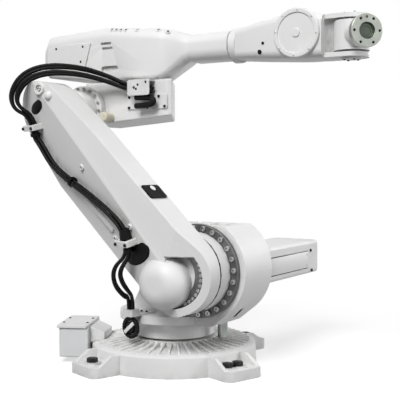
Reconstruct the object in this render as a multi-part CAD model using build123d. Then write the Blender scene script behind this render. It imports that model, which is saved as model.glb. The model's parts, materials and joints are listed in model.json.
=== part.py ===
"""Six-axis industrial robot arm on a cast floor base, in millimetres.

The origin is on the floor under the first axis, +Z is up, and +X is the way the arm points at rest.
"""

import math
import os

from build123d import *

# Joint axes at rest
SHOULDER_X = 175.0
SHOULDER_Z = 340.0
ELBOW_X = -310.0
ELBOW_Z = 882.0
ARM_RISE = 206.0
ARM_AXIS_Z = ELBOW_Z + ARM_RISE
WRIST_X = 661.0
WRIST_BEND = 46.0
FLANGE_REACH = 122.0

# Clearances
TURN_GAP = 6.0
SEAT_GAP = 0.3

# Base casting, turned under the arm
BASE_TURN = 26.0
BASE_R = 292.0
BASE_WALL_H = 66.0
BASE_CROWN_R = 160.0
BASE_CROWN_H = 92.0
FOOT_COUNT = 4
FOOT_R = 385.0
FOOT_W = 150.0
FOOT_H = 34.0
FOOT_WALL = 14.0
FOOT_INSET = 50.0
ANCHOR_PCD = 680.0
ANCHOR_HOLE_R = 13.0
RIB_COUNT = 48
RIB_W = 7.0
RIB_H = 12.0
RIM_W = 18.0

# Connector box behind the base, and the duct from it
BOX_LEN = 102.0
BOX_W = 190.0
BOX_LOW = 20.0
BOX_TOP = 122.0
LID_T = 10.0
LID_EDGE = 6.0
DUCT_W = 128.0
DUCT_REACH = 54.0
DUCT_INNER_R = BASE_R - DUCT_REACH

# Turret
TABLE_R = 190.0
TABLE_T = 28.0
TABLE_EDGE = 48.0
DRUM_R = TABLE_R - TABLE_EDGE
DRUM_STEP = 32.0
DRUM_SPIGOT_R = DRUM_R - DRUM_STEP
DRUM_TOP = 156.0
FRAME_R = 175.0
FRAME_TOP = 149.0
FRAME_NEAR_Y = -110.0
FRAME_SET_BACK = 115.0
FRAME_FAR_Y = TABLE_R - FRAME_SET_BACK
FRAME_FOOT_LEN = 330.0
FRAME_FOOT_SHIFT = 115.0
FRAME_FOOT_H = 40.0
RING_R = 156.0
RING_T = 18.0
GEAR_R = 130.0
GEAR_T = 62.0
GEAR_SPIGOT_R = 80.0
MOTOR_LEN = 460.0
MOTOR_W = 190.0
MOTOR_H = 124.0
MOTOR_SHIFT = 46.0
PANEL_INSET = 8.0
PANEL_EDGE = 26.0
SPIN_MOTOR_R = 54.0
SPIN_MOTOR_H = 190.0
POST_R = 17.0
POST_OUT = 10.0

# Lower arm
ARM_T = 114.0
HUB_R = 132.0
HUB_FLOOR = 50.0
HUB_RING_T = 7.0
RECESS_R = 106.0
BOSS_R = 86.0
BOSS_ACROSS = 38.0
BOSS_PROUD = 26.0
BOSS_ROUND = 62.0
HUB_RING_W = 34.0
WAIST_R = 138.0
WAIST_ALONG = 538.0
WAIST_ACROSS = 48.0
HEAD_R = 112.0
HEAD_PAST = 24.0
HEAD_ACROSS = 50.0
HEEL_START = -12.0
HEEL_SLOPE = 22.0
HEEL_SIDE = 210.0
TONGUE_FRONT = -38.0
TONGUE_REAR = 92.0
FACET_START = -10.0
FACET_SLOPE = 22.0
PLATE_T = 5.0
PLATE_ALONG = 252.0
PLATE_LEN = 58.0
PLATE_W = 92.0
CAP_DEPTH = 12.0
LOW_CAP_LEN = 120.0
LOW_CAP_W = 54.0
HIGH_CAP_LEN = 74.0
HIGH_CAP_W = 36.0

# Upper arm
ARM_W = 230.0
ARM_REAR_X = -505.0
NECK_X = 98.0
NECK_LEN = 88.0
UNDERSIDE = 105.0
BACK_RISE = 90.0
NECK_RISE = 68.0
TOP_ROUND = 42.0
LOW_ROUND = 16.0
CHIN_OUT = (0.466, 0.283, -0.838)
COVER_PLATE_LEN = 193.0
COVER_PLATE_LOW = 46.0
COVER_PLATE_TOP = 36.0
SLOT_LEN = 48.0
SLOT_W = 9.0
SLOT_D = 12.0
HOLLOW_LEN = 74.0
HOLLOW_W = 20.0
TUBE_END_X = 250.0
TUBE_H = 94.0
TUBE_W = 124.0
HOUSING_W = 210.0
HOUSING_R = 52.0
HOUSING_DROP = 24.0
HOUSING_FRONT_X = 55.0
ELBOW_GEAR_R = 72.0
ELBOW_RING_R = 90.0
ELBOW_MOTOR_R = 52.0
ELBOW_MOTOR_LEN = 140.0
DAMPER_R = 17.0
DAMPER_LEN = 46.0
DAMPER_AHEAD = 112.0
DAMPER_DROP = 24.0
BACK_PLATE_LEN = 168.0
BACK_PLATE_H = 50.0
BACK_PLATE_DROP = 76.0

# Wrist
COLLAR_R = 58.0
COLLAR_T = 26.0
WRIST_W = 152.0
COVER_X = 511.0
COVER_LIFT = 13.0
COVER_R = 78.0
COVER_T = 10.0
FAR_COVER_R = 60.0
FORK_INNER = 52.0
FORK_T = 14.0
WRIST_ROUND = 24.0
CHEEK_R = 4.0
WRIST_NECK = 70.0
CAP_R = 32.0
CAP_T = 5.0
TILT_R = 56.0
BARREL_R = 40.0

# Tool flange, six holes on a 100 mm circle
FLANGE_R = 50.0
FLANGE_T = 20.0
FLANGE_PCD = 80.0
FLANGE_HOLES = 6
FLANGE_HOLE_R = 4.2
FLANGE_BORE_R = 25.0
FLANGE_BORE_D = 10.0
DOWEL_R = 4.0
DOWEL_ANGLE = 92.0

# Cables, four in a bundle, and the clamps that hold them
CABLE_COUNT = 4
CABLE_R = 5.8
CABLE_PITCH = 12.4
CABLE_FAN = 0.4
CABLE_END = 40.0
ROUTE_UNIT = 100.0
BUNDLE_LIFT = 18.0
BUNDLE_SIDE = Vector(0.43, -0.86, 0.26)
CLAMP_W = 66.0
CLAMP_LEN = 20.0
CLAMP_WALL = 8.0
HOSE_R = 10.0
CONNECTOR_H = 13.0

ARM_LEN = math.hypot(ELBOW_X - SHOULDER_X, ELBOW_Z - SHOULDER_Z)
ALONG = Vector(ELBOW_X - SHOULDER_X, 0, ELBOW_Z - SHOULDER_Z) / ARM_LEN
ACROSS = Vector(-ALONG.Z, 0, ALONG.X)
RING_NEAR_Y = FRAME_NEAR_Y - RING_T
GEAR_FACE_Y = RING_NEAR_Y - GEAR_T
ARM_FAR_Y = GEAR_FACE_Y - TURN_GAP
ARM_NEAR_Y = ARM_FAR_Y - ARM_T
HUB_FLOOR_Y = ARM_FAR_Y - HUB_FLOOR
TABLE_TOP = DRUM_TOP + TABLE_T
FLOOR_R = BASE_R - RIM_W

# Length along the lower arm, then across it towards the back, then out to its near side
ARM_PLANE = Plane(origin=(SHOULDER_X, 0, SHOULDER_Z), x_dir=ALONG, z_dir=(0, -1, 0))


def side_plane(y):
    """Drawing plane facing the near side, with X along and Z up."""
    return Plane(origin=(0, y, 0), x_dir=(1, 0, 0), z_dir=(0, -1, 0))


def side_solid(sketch, near_y, far_y):
    """Extrude an XZ outline across the robot."""
    return extrude(side_plane(far_y) * sketch, amount=far_y - near_y)


def arm_solid(sketch, far_y, near_y):
    """Extrude an outline drawn along the lower arm."""
    return extrude(ARM_PLANE.offset(-far_y) * sketch, amount=far_y - near_y)


def disc(x, z, radius, far_y, near_y):
    """Round solid with its axis across the robot."""
    return side_solid(Pos(x, z) * Circle(radius), near_y, far_y)


def on_arm(along, across, y):
    """Point on the lower arm."""
    p = ALONG * along + ACROSS * across
    return Vector(SHOULDER_X + p.X, y, SHOULDER_Z + p.Z)


def facet_frame(along, across, along_axis):
    """Plane on the lower arm's sloping rear facet, with X near the given direction."""
    slope = math.radians(FACET_SLOPE)
    y = ARM_NEAR_Y + (across - FACET_START) * math.tan(slope)
    out = Vector(0, -math.cos(slope), 0) + ACROSS * math.sin(slope)
    ahead = Vector(along_axis) - out * out.dot(Vector(along_axis))
    return Plane(origin=on_arm(along, across, y), x_dir=ahead, z_dir=out)


def polar(radius, angle):
    """Point on the base's own circle, counted from the front of the base."""
    turn = math.radians(angle + BASE_TURN)
    return (radius * math.cos(turn), radius * math.sin(turn))


def on_base(angle):
    """Place with X out along a radius of the base."""
    return Rot(0, 0, angle + BASE_TURN)


def face(*points):
    """Flat face with straight edges."""
    return make_face(Polyline(*points, close=True))


def hull(*circles):
    """Outline stretched round circles, each given as x, y and radius."""
    edges = Sketch() + [Pos(x, y) * Circle(r) for x, y, r in circles]
    return make_hull(edges.edges())


def base_body():
    """Round base without its feet and ribs."""
    profile = face((0, 0), (BASE_R, 0), (BASE_R - 4, BASE_WALL_H), (FLOOR_R, BASE_WALL_H + 8),
                   (BASE_CROWN_R, BASE_CROWN_H - RIB_H), (BASE_CROWN_R - 8, BASE_CROWN_H), (0, BASE_CROWN_H))
    return revolve(Plane.XZ * profile, Axis.Z)


def base_foot():
    """Foot pad with a wall up each side to the ring."""
    inner = BASE_R - FOOT_INSET
    pad = extrude(Pos((inner + FOOT_R) / 2, 0) * RectangleRounded(FOOT_R - inner, FOOT_W, 28), FOOT_H)
    tip = FOOT_R - 24
    cheek = face((inner, 0), (tip, 0), (tip, FOOT_H), (BASE_R + 20, BASE_WALL_H), (inner, BASE_WALL_H))
    for side in (-1, 1):
        near = side * (FOOT_W - FOOT_WALL) / 2 - FOOT_WALL / 2
        pad += side_solid(cheek, near, near + FOOT_WALL)
    return pad


def base_casting():
    """Round base with four feet, anchor holes and radial ribs round the turret."""
    body = base_body()
    feet = [45 + i * 360 / FOOT_COUNT for i in range(FOOT_COUNT)]
    for angle in feet:
        body += on_base(angle) * base_foot()
    inner = BASE_CROWN_R - 2 * RIM_W / 3
    outer = FLOOR_R - RIM_W / 3
    profile = face((inner, BASE_WALL_H), (outer, BASE_WALL_H), (outer, BASE_WALL_H + RIB_H),
                   (inner + RIM_W, BASE_CROWN_H), (inner, BASE_CROWN_H))
    rib = side_solid(profile, -RIB_W / 2, RIB_W / 2)
    duct_half = math.degrees(math.atan2(DUCT_W / 2 + RIB_W, DUCT_INNER_R))
    for i in range(RIB_COUNT):
        angle = (i + 0.5) * 360 / RIB_COUNT
        if abs(angle - 180) > duct_half:
            body += on_base(angle) * rib
    for angle in feet:
        x, y = polar(ANCHOR_PCD / 2, angle)
        body -= Pos(x, y, FOOT_H / 2) * Cylinder(ANCHOR_HOLE_R, 2 * FOOT_H)
    return body


def connector_box():
    """Box behind the base, cut to sit against its wall."""
    inner = FLOOR_R + 16
    mid = -(inner + BASE_R + BOX_LEN) / 2
    box = Pos(mid, 0, (BOX_LOW + BOX_TOP) / 2) * Box(BASE_R + BOX_LEN - inner, BOX_W, BOX_TOP - BOX_LOW)
    box = fillet(box.edges().filter_by(Axis.Z).group_by(Axis.X)[0], 10)
    return on_base(0) * box - base_body()


def connector_lid():
    """Flat lid over the box, with an edge all round."""
    length = BOX_LEN + LID_EDGE
    lid = Pos(-BASE_R - length / 2, 0, BOX_TOP + LID_T / 2) * Box(length, BOX_W + 2 * LID_EDGE, LID_T)
    return on_base(0) * fillet(lid.edges().filter_by(Axis.Z), 8)


def cable_duct():
    """Sloping cover from the box towards the turret."""
    outer = FLOOR_R + 16
    duct = face((-outer, BASE_WALL_H), (-outer, BOX_TOP), (-outer + 8, BOX_TOP),
                (-DUCT_INNER_R, BASE_CROWN_H + 10), (-DUCT_INNER_R, BASE_WALL_H))
    return on_base(0) * side_solid(duct, -DUCT_W / 2, DUCT_W / 2) - base_body()


def turret_drum():
    """Round column on the base's crown, with the spigot that it turns on."""
    low = BASE_CROWN_H + TURN_GAP
    drum = Pos(0, 0, (low + DRUM_TOP) / 2) * Cylinder(DRUM_R, DRUM_TOP - low)
    spigot_low = BASE_CROWN_H + SEAT_GAP
    return drum + Pos(0, 0, (spigot_low + low) / 2) * Cylinder(DRUM_SPIGOT_R, low - spigot_low)


def shoulder_frame():
    """Upright casting on a round table, flat on top, that holds the second axis."""
    place = Pos(SHOULDER_X - FRAME_FOOT_SHIFT, DRUM_TOP + FRAME_FOOT_H / 2)
    foot = place * Rectangle(FRAME_FOOT_LEN, FRAME_FOOT_H)
    outline = make_hull((Pos(SHOULDER_X, SHOULDER_Z) * Circle(FRAME_R)).edges() + foot.edges())
    top = SHOULDER_Z + FRAME_TOP
    outline -= Pos(SHOULDER_X, top + FRAME_R / 2) * Rectangle(3 * FRAME_R, FRAME_R)
    frame = side_solid(outline, FRAME_NEAR_Y, FRAME_FAR_Y)
    frame += Pos(0, 0, DRUM_TOP + TABLE_T / 2) * Cylinder(TABLE_R, TABLE_T)
    for x in (SHOULDER_X - 70, SHOULDER_X + 10, SHOULDER_X + 74):
        lug = Pos(x, (FRAME_NEAR_Y + FRAME_FAR_Y) / 2 - 40, top) * Box(34, 60, 16)
        frame += fillet(lug.edges().filter_by(Axis.Z), 8)
    return frame


def axis2_motor_cover():
    """Long motor box on the far side, with a shallow bare panel on its front."""
    x = SHOULDER_X + MOTOR_SHIFT
    box = Pos(x, FRAME_FAR_Y + MOTOR_LEN / 2, SHOULDER_Z) * Box(MOTOR_W, MOTOR_LEN, MOTOR_H)
    box = fillet(box.edges().filter_by(Axis.Y), 14)
    front = Plane(origin=(x + MOTOR_W / 2, FRAME_FAR_Y + MOTOR_LEN * 0.56, SHOULDER_Z), z_dir=(1, 0, 0))
    panel = RectangleRounded(MOTOR_LEN * 0.72, MOTOR_H - 2 * PANEL_EDGE, 8)
    return box - extrude(front * panel, -PANEL_INSET)


def axis1_motor_cover():
    """Upright motor on the turret's table, behind the frame."""
    y = FRAME_FAR_Y + SPIN_MOTOR_R + TURN_GAP / 6
    x = -math.sqrt((TABLE_R - SPIN_MOTOR_R) ** 2 - y ** 2)
    can = Pos(x, y, TABLE_TOP + SPIN_MOTOR_H / 2) * Cylinder(SPIN_MOTOR_R, SPIN_MOTOR_H)
    return fillet(can.edges().group_by(Axis.Z)[-1], 10)


def stop_post():
    """Steel post under the front of the frame's foot."""
    low = BASE_CROWN_H + TURN_GAP
    post = Pos(TABLE_R + POST_OUT, 0, (low + DRUM_TOP) / 2) * Cylinder(POST_R, DRUM_TOP - low)
    return chamfer(post.edges().group_by(Axis.Z)[0], 2)


ANCHOR_ANGLE = 262.0
ANCHOR_OUT = 28.0
ANCHOR_R = TABLE_R + ANCHOR_OUT
ANCHOR_LEN = 40.0
ANCHOR_W = 46.0
ANCHOR_H = 24.0
ANCHOR_T = 6.0
LOOP_R = 30.0
LOOP_TUBE_R = 8.5


def cable_anchor():
    """Bracket on the table's rim that holds the lower end of the cables."""
    inner = 2 * TURN_GAP - FRAME_NEAR_Y
    outer = ANCHOR_R + ANCHOR_LEN / 2
    plate = Pos((inner + outer) / 2, 0, TABLE_TOP + ANCHOR_T / 2) * Box(outer - inner, ANCHOR_W, ANCHOR_T)
    block = Pos(ANCHOR_R, 0, TABLE_TOP + ANCHOR_H / 2) * Box(ANCHOR_LEN, ANCHOR_W, ANCHOR_H)
    return Rot(0, 0, ANCHOR_ANGLE) * (plate + fillet(block.edges().filter_by(Axis.Z), 6))


def conduit_loop():
    """Loop of ribbed conduit under the anchor."""
    ring = Rot(0, 90, 0) * Torus(LOOP_R, LOOP_TUBE_R)
    return Rot(0, 0, ANCHOR_ANGLE) * Pos(ANCHOR_R, 0, TABLE_TOP - LOOP_R - LOOP_TUBE_R) * ring


def slope_away(direction, start, angle):
    """Wedge that slopes the near side away, from a line across the arm at that distance from the shoulder."""
    turn = math.radians(direction)
    way = ALONG * math.cos(turn) + ACROSS * math.sin(turn)
    width = 3 * WAIST_R
    section = face((0, 0), (width, 20), (width, -width * math.tan(math.radians(angle))))
    side = way.cross(Vector(0, -1, 0))
    line = Plane(origin=on_arm(0, 0, ARM_NEAR_Y) + way * start - side * ARM_LEN * 2, x_dir=way, z_dir=side)
    return extrude(line * section, 4 * ARM_LEN)


def beam_outline(grow):
    """Outline of the whole arm, round at the shoulder, widest below its head."""
    return hull((0, 0, HUB_R + grow), (WAIST_ALONG, WAIST_ACROSS, WAIST_R + grow),
                (ARM_LEN + HEAD_PAST, HEAD_ACROSS, HEAD_R + grow))


def tongue(gap):
    """Wedge-shaped area where the beam runs down to the domed boss."""
    far = 3 * RECESS_R
    corners = []
    for angle, side in ((TONGUE_FRONT, -1), ((TONGUE_FRONT + TONGUE_REAR) / 2, 0), (TONGUE_REAR, 1)):
        ahead, across = math.cos(math.radians(angle)), math.sin(math.radians(angle))
        corners.append((far * ahead - side * gap * across, far * across + side * gap * ahead))
    return face((-gap, -gap / 3), *corners)


def cap_pocket(frame, sketch):
    """Pocket in the rear facet for a cap."""
    return extrude(frame.offset(-CAP_DEPTH) * sketch, amount=CAP_DEPTH + 30)


def arm_cap(frame, sketch):
    """Black cap at the bottom of a pocket."""
    return extrude(frame.offset(-CAP_DEPTH) * sketch, amount=CAP_DEPTH - 4)


LOW_CAP_ALONG = 128.0
HIGH_CAP_PAST = 52.0
CAP_ACROSS = 46.0
CAP_LEAN = ALONG * 0.3 + ACROSS
LOW_CAP = facet_frame(LOW_CAP_ALONG, CAP_ACROSS, CAP_LEAN)
HIGH_CAP = facet_frame(ARM_LEN + HIGH_CAP_PAST, CAP_ACROSS, CAP_LEAN)


def lower_arm_casting():
    """Beam that widens to a hub, with a ring-shaped recess round a domed boss."""
    arm = arm_solid(beam_outline(0), ARM_FAR_Y, ARM_NEAR_Y)
    arm -= slope_away(90, FACET_START, FACET_SLOPE)
    arm -= slope_away(HEEL_SIDE, HEEL_START, HEEL_SLOPE)
    arm -= arm_solid(Circle(RECESS_R) - tongue(0), HUB_FLOOR_Y, ARM_NEAR_Y - TURN_GAP)
    boss = arm_solid(Pos(0, BOSS_ACROSS) * Circle(BOSS_R), HUB_FLOOR_Y, ARM_NEAR_Y - BOSS_PROUD)
    arm += fillet(boss.edges().group_by(Axis.Y)[0], BOSS_ROUND)
    arm -= cap_pocket(LOW_CAP, SlotOverall(LOW_CAP_LEN, LOW_CAP_W))
    return arm - cap_pocket(HIGH_CAP, SlotOverall(HIGH_CAP_LEN, HIGH_CAP_W))


def hub_ring():
    """Bolted ring at the bottom of the hub's recess, open where the beam joins."""
    ring = Circle(RECESS_R - SEAT_GAP) - Circle(RECESS_R - HUB_RING_W)
    ring -= Pos(0, BOSS_ACROSS) * Circle(BOSS_R + SEAT_GAP) + tongue(SEAT_GAP)
    return arm_solid(ring, HUB_FLOOR_Y, HUB_FLOOR_Y - HUB_RING_T)


def side_plate():
    """Cover plate let in the front face of the beam, with a round plug."""
    at = on_arm(PLATE_ALONG, 0, (ARM_FAR_Y + ARM_NEAR_Y) / 2)
    plane = Plane(origin=at, x_dir=(0, 1, 0), z_dir=-ACROSS)
    plate = extrude(plane * RectangleRounded(PLATE_W, PLATE_LEN, 9), 2 * WAIST_R)
    shell = arm_solid(beam_outline(0), ARM_FAR_Y, ARM_NEAR_Y)
    grown = arm_solid(offset(beam_outline(0), PLATE_T), ARM_FAR_Y, ARM_NEAR_Y)
    return plate & (grown - shell)


LOW_CLAMP_ALONG = 178.0
LOW_CLAMP_ACROSS = 40.0
HIGH_CLAMP_PAST = 15.0
HIGH_CLAMP_ACROSS = 100.0
LOW_CLAMP = facet_frame(LOW_CLAMP_ALONG, LOW_CLAMP_ACROSS, (0, 0, 1))
HIGH_CLAMP = facet_frame(ARM_LEN + HIGH_CLAMP_PAST, HIGH_CLAMP_ACROSS, (0, 0, 1))


def clamp(frame):
    """Bar over the cables, on two legs."""
    inner = 2 * BUNDLE_LIFT
    bar = Pos(0, 0, (inner + CLAMP_WALL) / 2) * Box(CLAMP_LEN, CLAMP_W, inner + CLAMP_WALL)
    bar = fillet(bar.edges().filter_by(Axis.X).group_by(Axis.Z)[-1], 6)
    return frame * (bar - Pos(0, 0, inner / 2) * Box(2 * CLAMP_LEN, inner + 2, inner))


def clamp_point(frame, along):
    """Middle of the bundle at a clamp."""
    return frame.origin + frame.z_dir * BUNDLE_LIFT + frame.x_dir * along


def tube(points, radius):
    """Round cable of straight runs and the widest bends that they leave room for."""
    points = [Vector(p) for p in points]
    radii = []
    for a, b, c in zip(points, points[1:], points[2:]):
        half = math.radians((b - a).get_angle(c - b)) / 2
        radii.append(0.45 * min((b - a).length, (c - b).length) / math.tan(half))
    path = FilletPolyline(*points, radius=radii)
    return sweep(Plane(origin=path @ 0, z_dir=path % 0) * Circle(radius), path=path)


def bundle(points, fan=0.0):
    """Cables side by side along a route, fanned out a little between its ends."""
    points = [Vector(p) for p in points]
    runs = [(b - a).normalized() for a, b in zip(points, points[1:])]
    bends = [(a + b).normalized() for a, b in zip(runs[1:], runs[2:-1])]
    tangents = [runs[0]] * 2 + bends + [runs[-1]] * 2
    reach = CABLE_PITCH / 2 / math.sin(math.pi / CABLE_COUNT)
    last = len(points) - 2
    cables = []
    for i in range(CABLE_COUNT):
        lean = math.pi * (2 * i + 1) / CABLE_COUNT
        lane = []
        for k, (point, tangent) in enumerate(zip(points, tangents)):
            spread = reach * (1 + fan * math.sin(math.pi * min(max(k - 1, 0), last - 1) / (last - 1)))
            out = (BUNDLE_SIDE - tangent * BUNDLE_SIDE.dot(tangent)).normalized()
            lane.append(point + (out * math.cos(lean) + tangent.cross(out) * math.sin(lean)) * spread)
        cables.append(tube(lane, CABLE_R).solid())
    return Compound(children=cables)


def arm_cables():
    """Cables that the lower arm carries between its clamps."""
    stations = ((0.38, 0.17), (0.52, 0.42), (0.66, 0.73), (0.81, 1.02), (0.94, 0.92))
    route = [clamp_point(LOW_CLAMP, 0), clamp_point(LOW_CLAMP, CABLE_END)]
    route += [clamp_point(facet_frame(ARM_LEN * part, HUB_R * side, (0, 0, 1)), 0) for part, side in stations]
    return bundle(route + [clamp_point(HIGH_CLAMP, -CABLE_END), clamp_point(HIGH_CLAMP, 0)])


def shoulder_cables():
    """Loop of cables from the turret's anchor up to the lower clamp."""
    turn = math.radians(ANCHOR_ANGLE)
    end = Vector(ANCHOR_R * math.cos(turn), ANCHOR_R * math.sin(turn), TABLE_TOP + ANCHOR_H)
    route = [end, end + Vector(0, 0, CABLE_END)]
    for x, y, z in ((-1.81, -2.74, -0.72), (-1.89, -3.10, -0.30), (-1.83, -3.22, 0.16)):
        route.append(on_arm(0, 0, 0) + Vector(x, y, z) * ROUTE_UNIT)
    return bundle(route + [clamp_point(LOW_CLAMP, -CABLE_END), clamp_point(LOW_CLAMP, 0)], CABLE_FAN)


def elbow_cables():
    """Loop of cables from the upper clamp, round the elbow, to the upper arm's bracket."""
    route = [clamp_point(HIGH_CLAMP, 0), clamp_point(HIGH_CLAMP, CABLE_END)]
    for x, y, z in ((-1.28, -3.30, 0.06), (-1.34, -3.34, 0.54), (-1.00, -3.16, 1.11), (-0.40, -2.74, 1.40),
                    (0.52, -2.04, 1.36), (1.40, -1.50, 1.06)):
        route.append(on_arm(ARM_LEN, 0, 0) + Vector(x, y, z) * ROUTE_UNIT)
    route.append((BRACKET_X - 0.6 * BRACKET_LEN, BUNDLE_Y, BRACKET_Z))
    route.append((BRACKET_X + CABLE_END, BUNDLE_Y, BRACKET_Z - TURN_GAP))
    return bundle(route, CABLE_FAN)


def section(x, low, high, half, top_round, low_round):
    """Section across the upper arm or the wrist, rounded at its corners."""
    outline = Pos(0, (low + high) / 2) * Rectangle(2 * half, high - low)
    outline = fillet(outline.vertices().group_by(Axis.Y)[-1], top_round)
    outline = fillet(outline.vertices().group_by(Axis.Y)[0], low_round)
    return Plane(origin=(x, 0, ARM_AXIS_Z), x_dir=(0, 1, 0), z_dir=(1, 0, 0)) * outline


def upper_arm_casting():
    """Rear housing that narrows to the oval tube that the wrist turns on."""
    half = ARM_W / 2
    tube_round = 0.8 * TUBE_H / 2
    rear = ((0, -0.5, 0.52, 0.9), (0.22, -0.74, 0.86, 1.0))
    sections = [section(ARM_REAR_X + part * UNDERSIDE, low * UNDERSIDE, high * BACK_RISE, half * side,
                        TOP_ROUND * side, LOW_ROUND) for part, low, high, side in rear]
    sections.append(section(0.7 * ELBOW_X, -UNDERSIDE, BACK_RISE, half, TOP_ROUND, LOW_ROUND))
    wide = (-UNDERSIDE, NECK_RISE, half, TOP_ROUND, LOW_ROUND)
    slim = (-TUBE_H / 2, TUBE_H / 2, TUBE_W / 2, tube_round, tube_round)
    for part in (0, 0.3, 0.55, 0.8, 1):
        ease = part * part * (3 - 2 * part)
        values = [a + (b - a) * ease for a, b in zip(wide, slim)]
        sections.append(section(NECK_X - NECK_LEN * (1 - part), *values))
    body = loft(sections, ruled=True)
    chin_start = (NECK_X - 0.75 * NECK_LEN, -half, ARM_AXIS_Z - UNDERSIDE)
    chin = Plane(origin=chin_start, x_dir=(-0.6 * ARM_W, ARM_W, 0), z_dir=CHIN_OUT)
    body = split(body, bisect_by=chin, keep=Keep.BOTTOM)
    body += extrude(section(NECK_X - 1, *slim), TUBE_END_X - NECK_X + 1 - SEAT_GAP)
    for x, z, length, width in ((0.68, 0.28, SLOT_LEN, SLOT_W), (0.66, 0.12, SLOT_LEN, SLOT_W),
                                (0.63, -0.57, HOLLOW_LEN, HOLLOW_W), (1.0, -0.5, SLOT_LEN, SLOT_W)):
        pocket = Pos(x * ELBOW_X, ARM_AXIS_Z + z * UNDERSIDE) * SlotOverall(length, width)
        body -= side_solid(pocket, -half - SLOT_D, SLOT_D - half)
    return body


def rear_cover():
    """Flat cover on the near side of the rear housing."""
    half = ARM_W / 2
    x = ARM_REAR_X + COVER_PLATE_TOP
    plate = face((x, -COVER_PLATE_LOW), (x, COVER_PLATE_TOP / 2), (x + COVER_PLATE_LEN / 8, COVER_PLATE_TOP),
                 (x + COVER_PLATE_LEN, COVER_PLATE_TOP), (x + COVER_PLATE_LEN * 0.86, -COVER_PLATE_LOW))
    return side_solid(Pos(0, ARM_AXIS_Z) * plate, -half - PLATE_T, -half)


def axis3_housing():
    """Housing under the upper arm that holds the third axis, its front slanting away."""
    half = HOUSING_W / 2
    top = ARM_AXIS_Z - UNDERSIDE
    low = ELBOW_Z - HOUSING_DROP
    front = Pos((HOUSING_FRONT_X - 60) / 2, (top + low) / 2) * Rectangle(HOUSING_FRONT_X + 60, top - low)
    rear = Pos(ELBOW_X + 60, (top + ELBOW_Z) / 2) * Rectangle(120, top - ELBOW_Z)
    outline = make_hull((Pos(ELBOW_X, ELBOW_Z) * Circle(HOUSING_R)).edges() + front.edges() + rear.edges())
    body = side_solid(outline, -half, half)
    plan = face((ELBOW_X - 2 * HOUSING_R, -half), (HOUSING_FRONT_X - 14, -half), (HOUSING_FRONT_X, 14 - half),
                (-65, half), (ELBOW_X - 2 * HOUSING_R, half))
    return body & extrude(Plane.XY * plan, 2 * ARM_AXIS_Z)


def axis3_gearbox():
    """Stepped gearbox between the housing and the lower arm's head."""
    near = -HOUSING_W / 2
    gear = disc(ELBOW_X, ELBOW_Z, ELBOW_RING_R, near, near - 26)
    gear += disc(ELBOW_X, ELBOW_Z, ELBOW_GEAR_R, near - 26, GEAR_FACE_Y)
    return gear + disc(ELBOW_X, ELBOW_Z, ELBOW_GEAR_R - 20, GEAR_FACE_Y, ARM_FAR_Y + SEAT_GAP)


def axis3_motor_cover():
    """Round motor cover on the far side of the housing."""
    far = HOUSING_W / 2
    can = disc(ELBOW_X + 20, ELBOW_Z + 36, ELBOW_MOTOR_R, far + ELBOW_MOTOR_LEN, far)
    return fillet(can.edges().group_by(Axis.Y)[-1], 12)


BRACKET_X = -44.0
BRACKET_LEN = 90.0
BRACKET_H = 54.0
BRACKET_Z = ARM_AXIS_Z - UNDERSIDE - BRACKET_H / 2 - TURN_GAP / 2
BRACKET_OUT = 44.0
BUNDLE_Y = -HOUSING_W / 2 - BRACKET_OUT / 2 + 1


def cable_bracket():
    """Bent plate on the housing that holds the upper end of the cables."""
    near = -HOUSING_W / 2
    out = near - BRACKET_OUT
    outline = RectangleRounded(BRACKET_LEN, BRACKET_H, 8) - Pos(-BRACKET_LEN / 5, 0) * Circle(HOSE_R / 2)
    plate = side_solid(Pos(BRACKET_X, BRACKET_Z) * outline, out - PLATE_T, out)
    top = BRACKET_Z + BRACKET_H / 2 - PLATE_T / 2
    return plate + Pos(BRACKET_X, near - BRACKET_OUT / 2, top) * Box(BRACKET_LEN - 16, BRACKET_OUT, PLATE_T)


HOSE_X = -24.0
HOSE_TOP_Z = ARM_AXIS_Z - UNDERSIDE - BACK_PLATE_DROP + 14
HOSE_LOW_Z = HOSE_TOP_Z - 2 * HOSE_R - 9


def backing_plate():
    """Plate on the housing that carries the hose's connectors."""
    near = -HOUSING_W / 2
    x = HOUSING_FRONT_X - BACK_PLATE_LEN / 2 - 2 * PLATE_T
    z = ARM_AXIS_Z - UNDERSIDE - BACK_PLATE_DROP
    plate = side_solid(Pos(x, z) * RectangleRounded(BACK_PLATE_LEN, BACK_PLATE_H, 7), near - PLATE_T, near)
    for z in (HOSE_TOP_Z, HOSE_LOW_Z):
        plate += disc(HOSE_X - 3 * HOSE_R, z, HOSE_R - 1, near - PLATE_T, near - PLATE_T - CONNECTOR_H)
    return plate


def connector_hose():
    """Hose bent back on itself between its two connectors."""
    y = -HOUSING_W / 2 - PLATE_T - CONNECTOR_H - SEAT_GAP - HOSE_R
    start = HOSE_X - 4.4 * HOSE_R
    bow = HOSE_X + 3.4 * HOSE_R
    turn = HOSE_X + 1.7 * HOSE_R
    middle = (HOSE_TOP_Z + HOSE_LOW_Z) / 2
    points = ((start, HOSE_TOP_Z), (turn, HOSE_TOP_Z), (bow, middle), (turn, HOSE_LOW_Z), (start, HOSE_LOW_Z))
    return tube([(x, y, z) for x, z in points], HOSE_R)


def stop_damper():
    """Rubber-faced stop beside the gearbox."""
    near = -HOUSING_W / 2
    block = disc(ELBOW_X + DAMPER_AHEAD, ELBOW_Z - DAMPER_DROP, DAMPER_R, near, near - DAMPER_LEN)
    return fillet(block.edges().group_by(Axis.Y)[0], 5)


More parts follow.
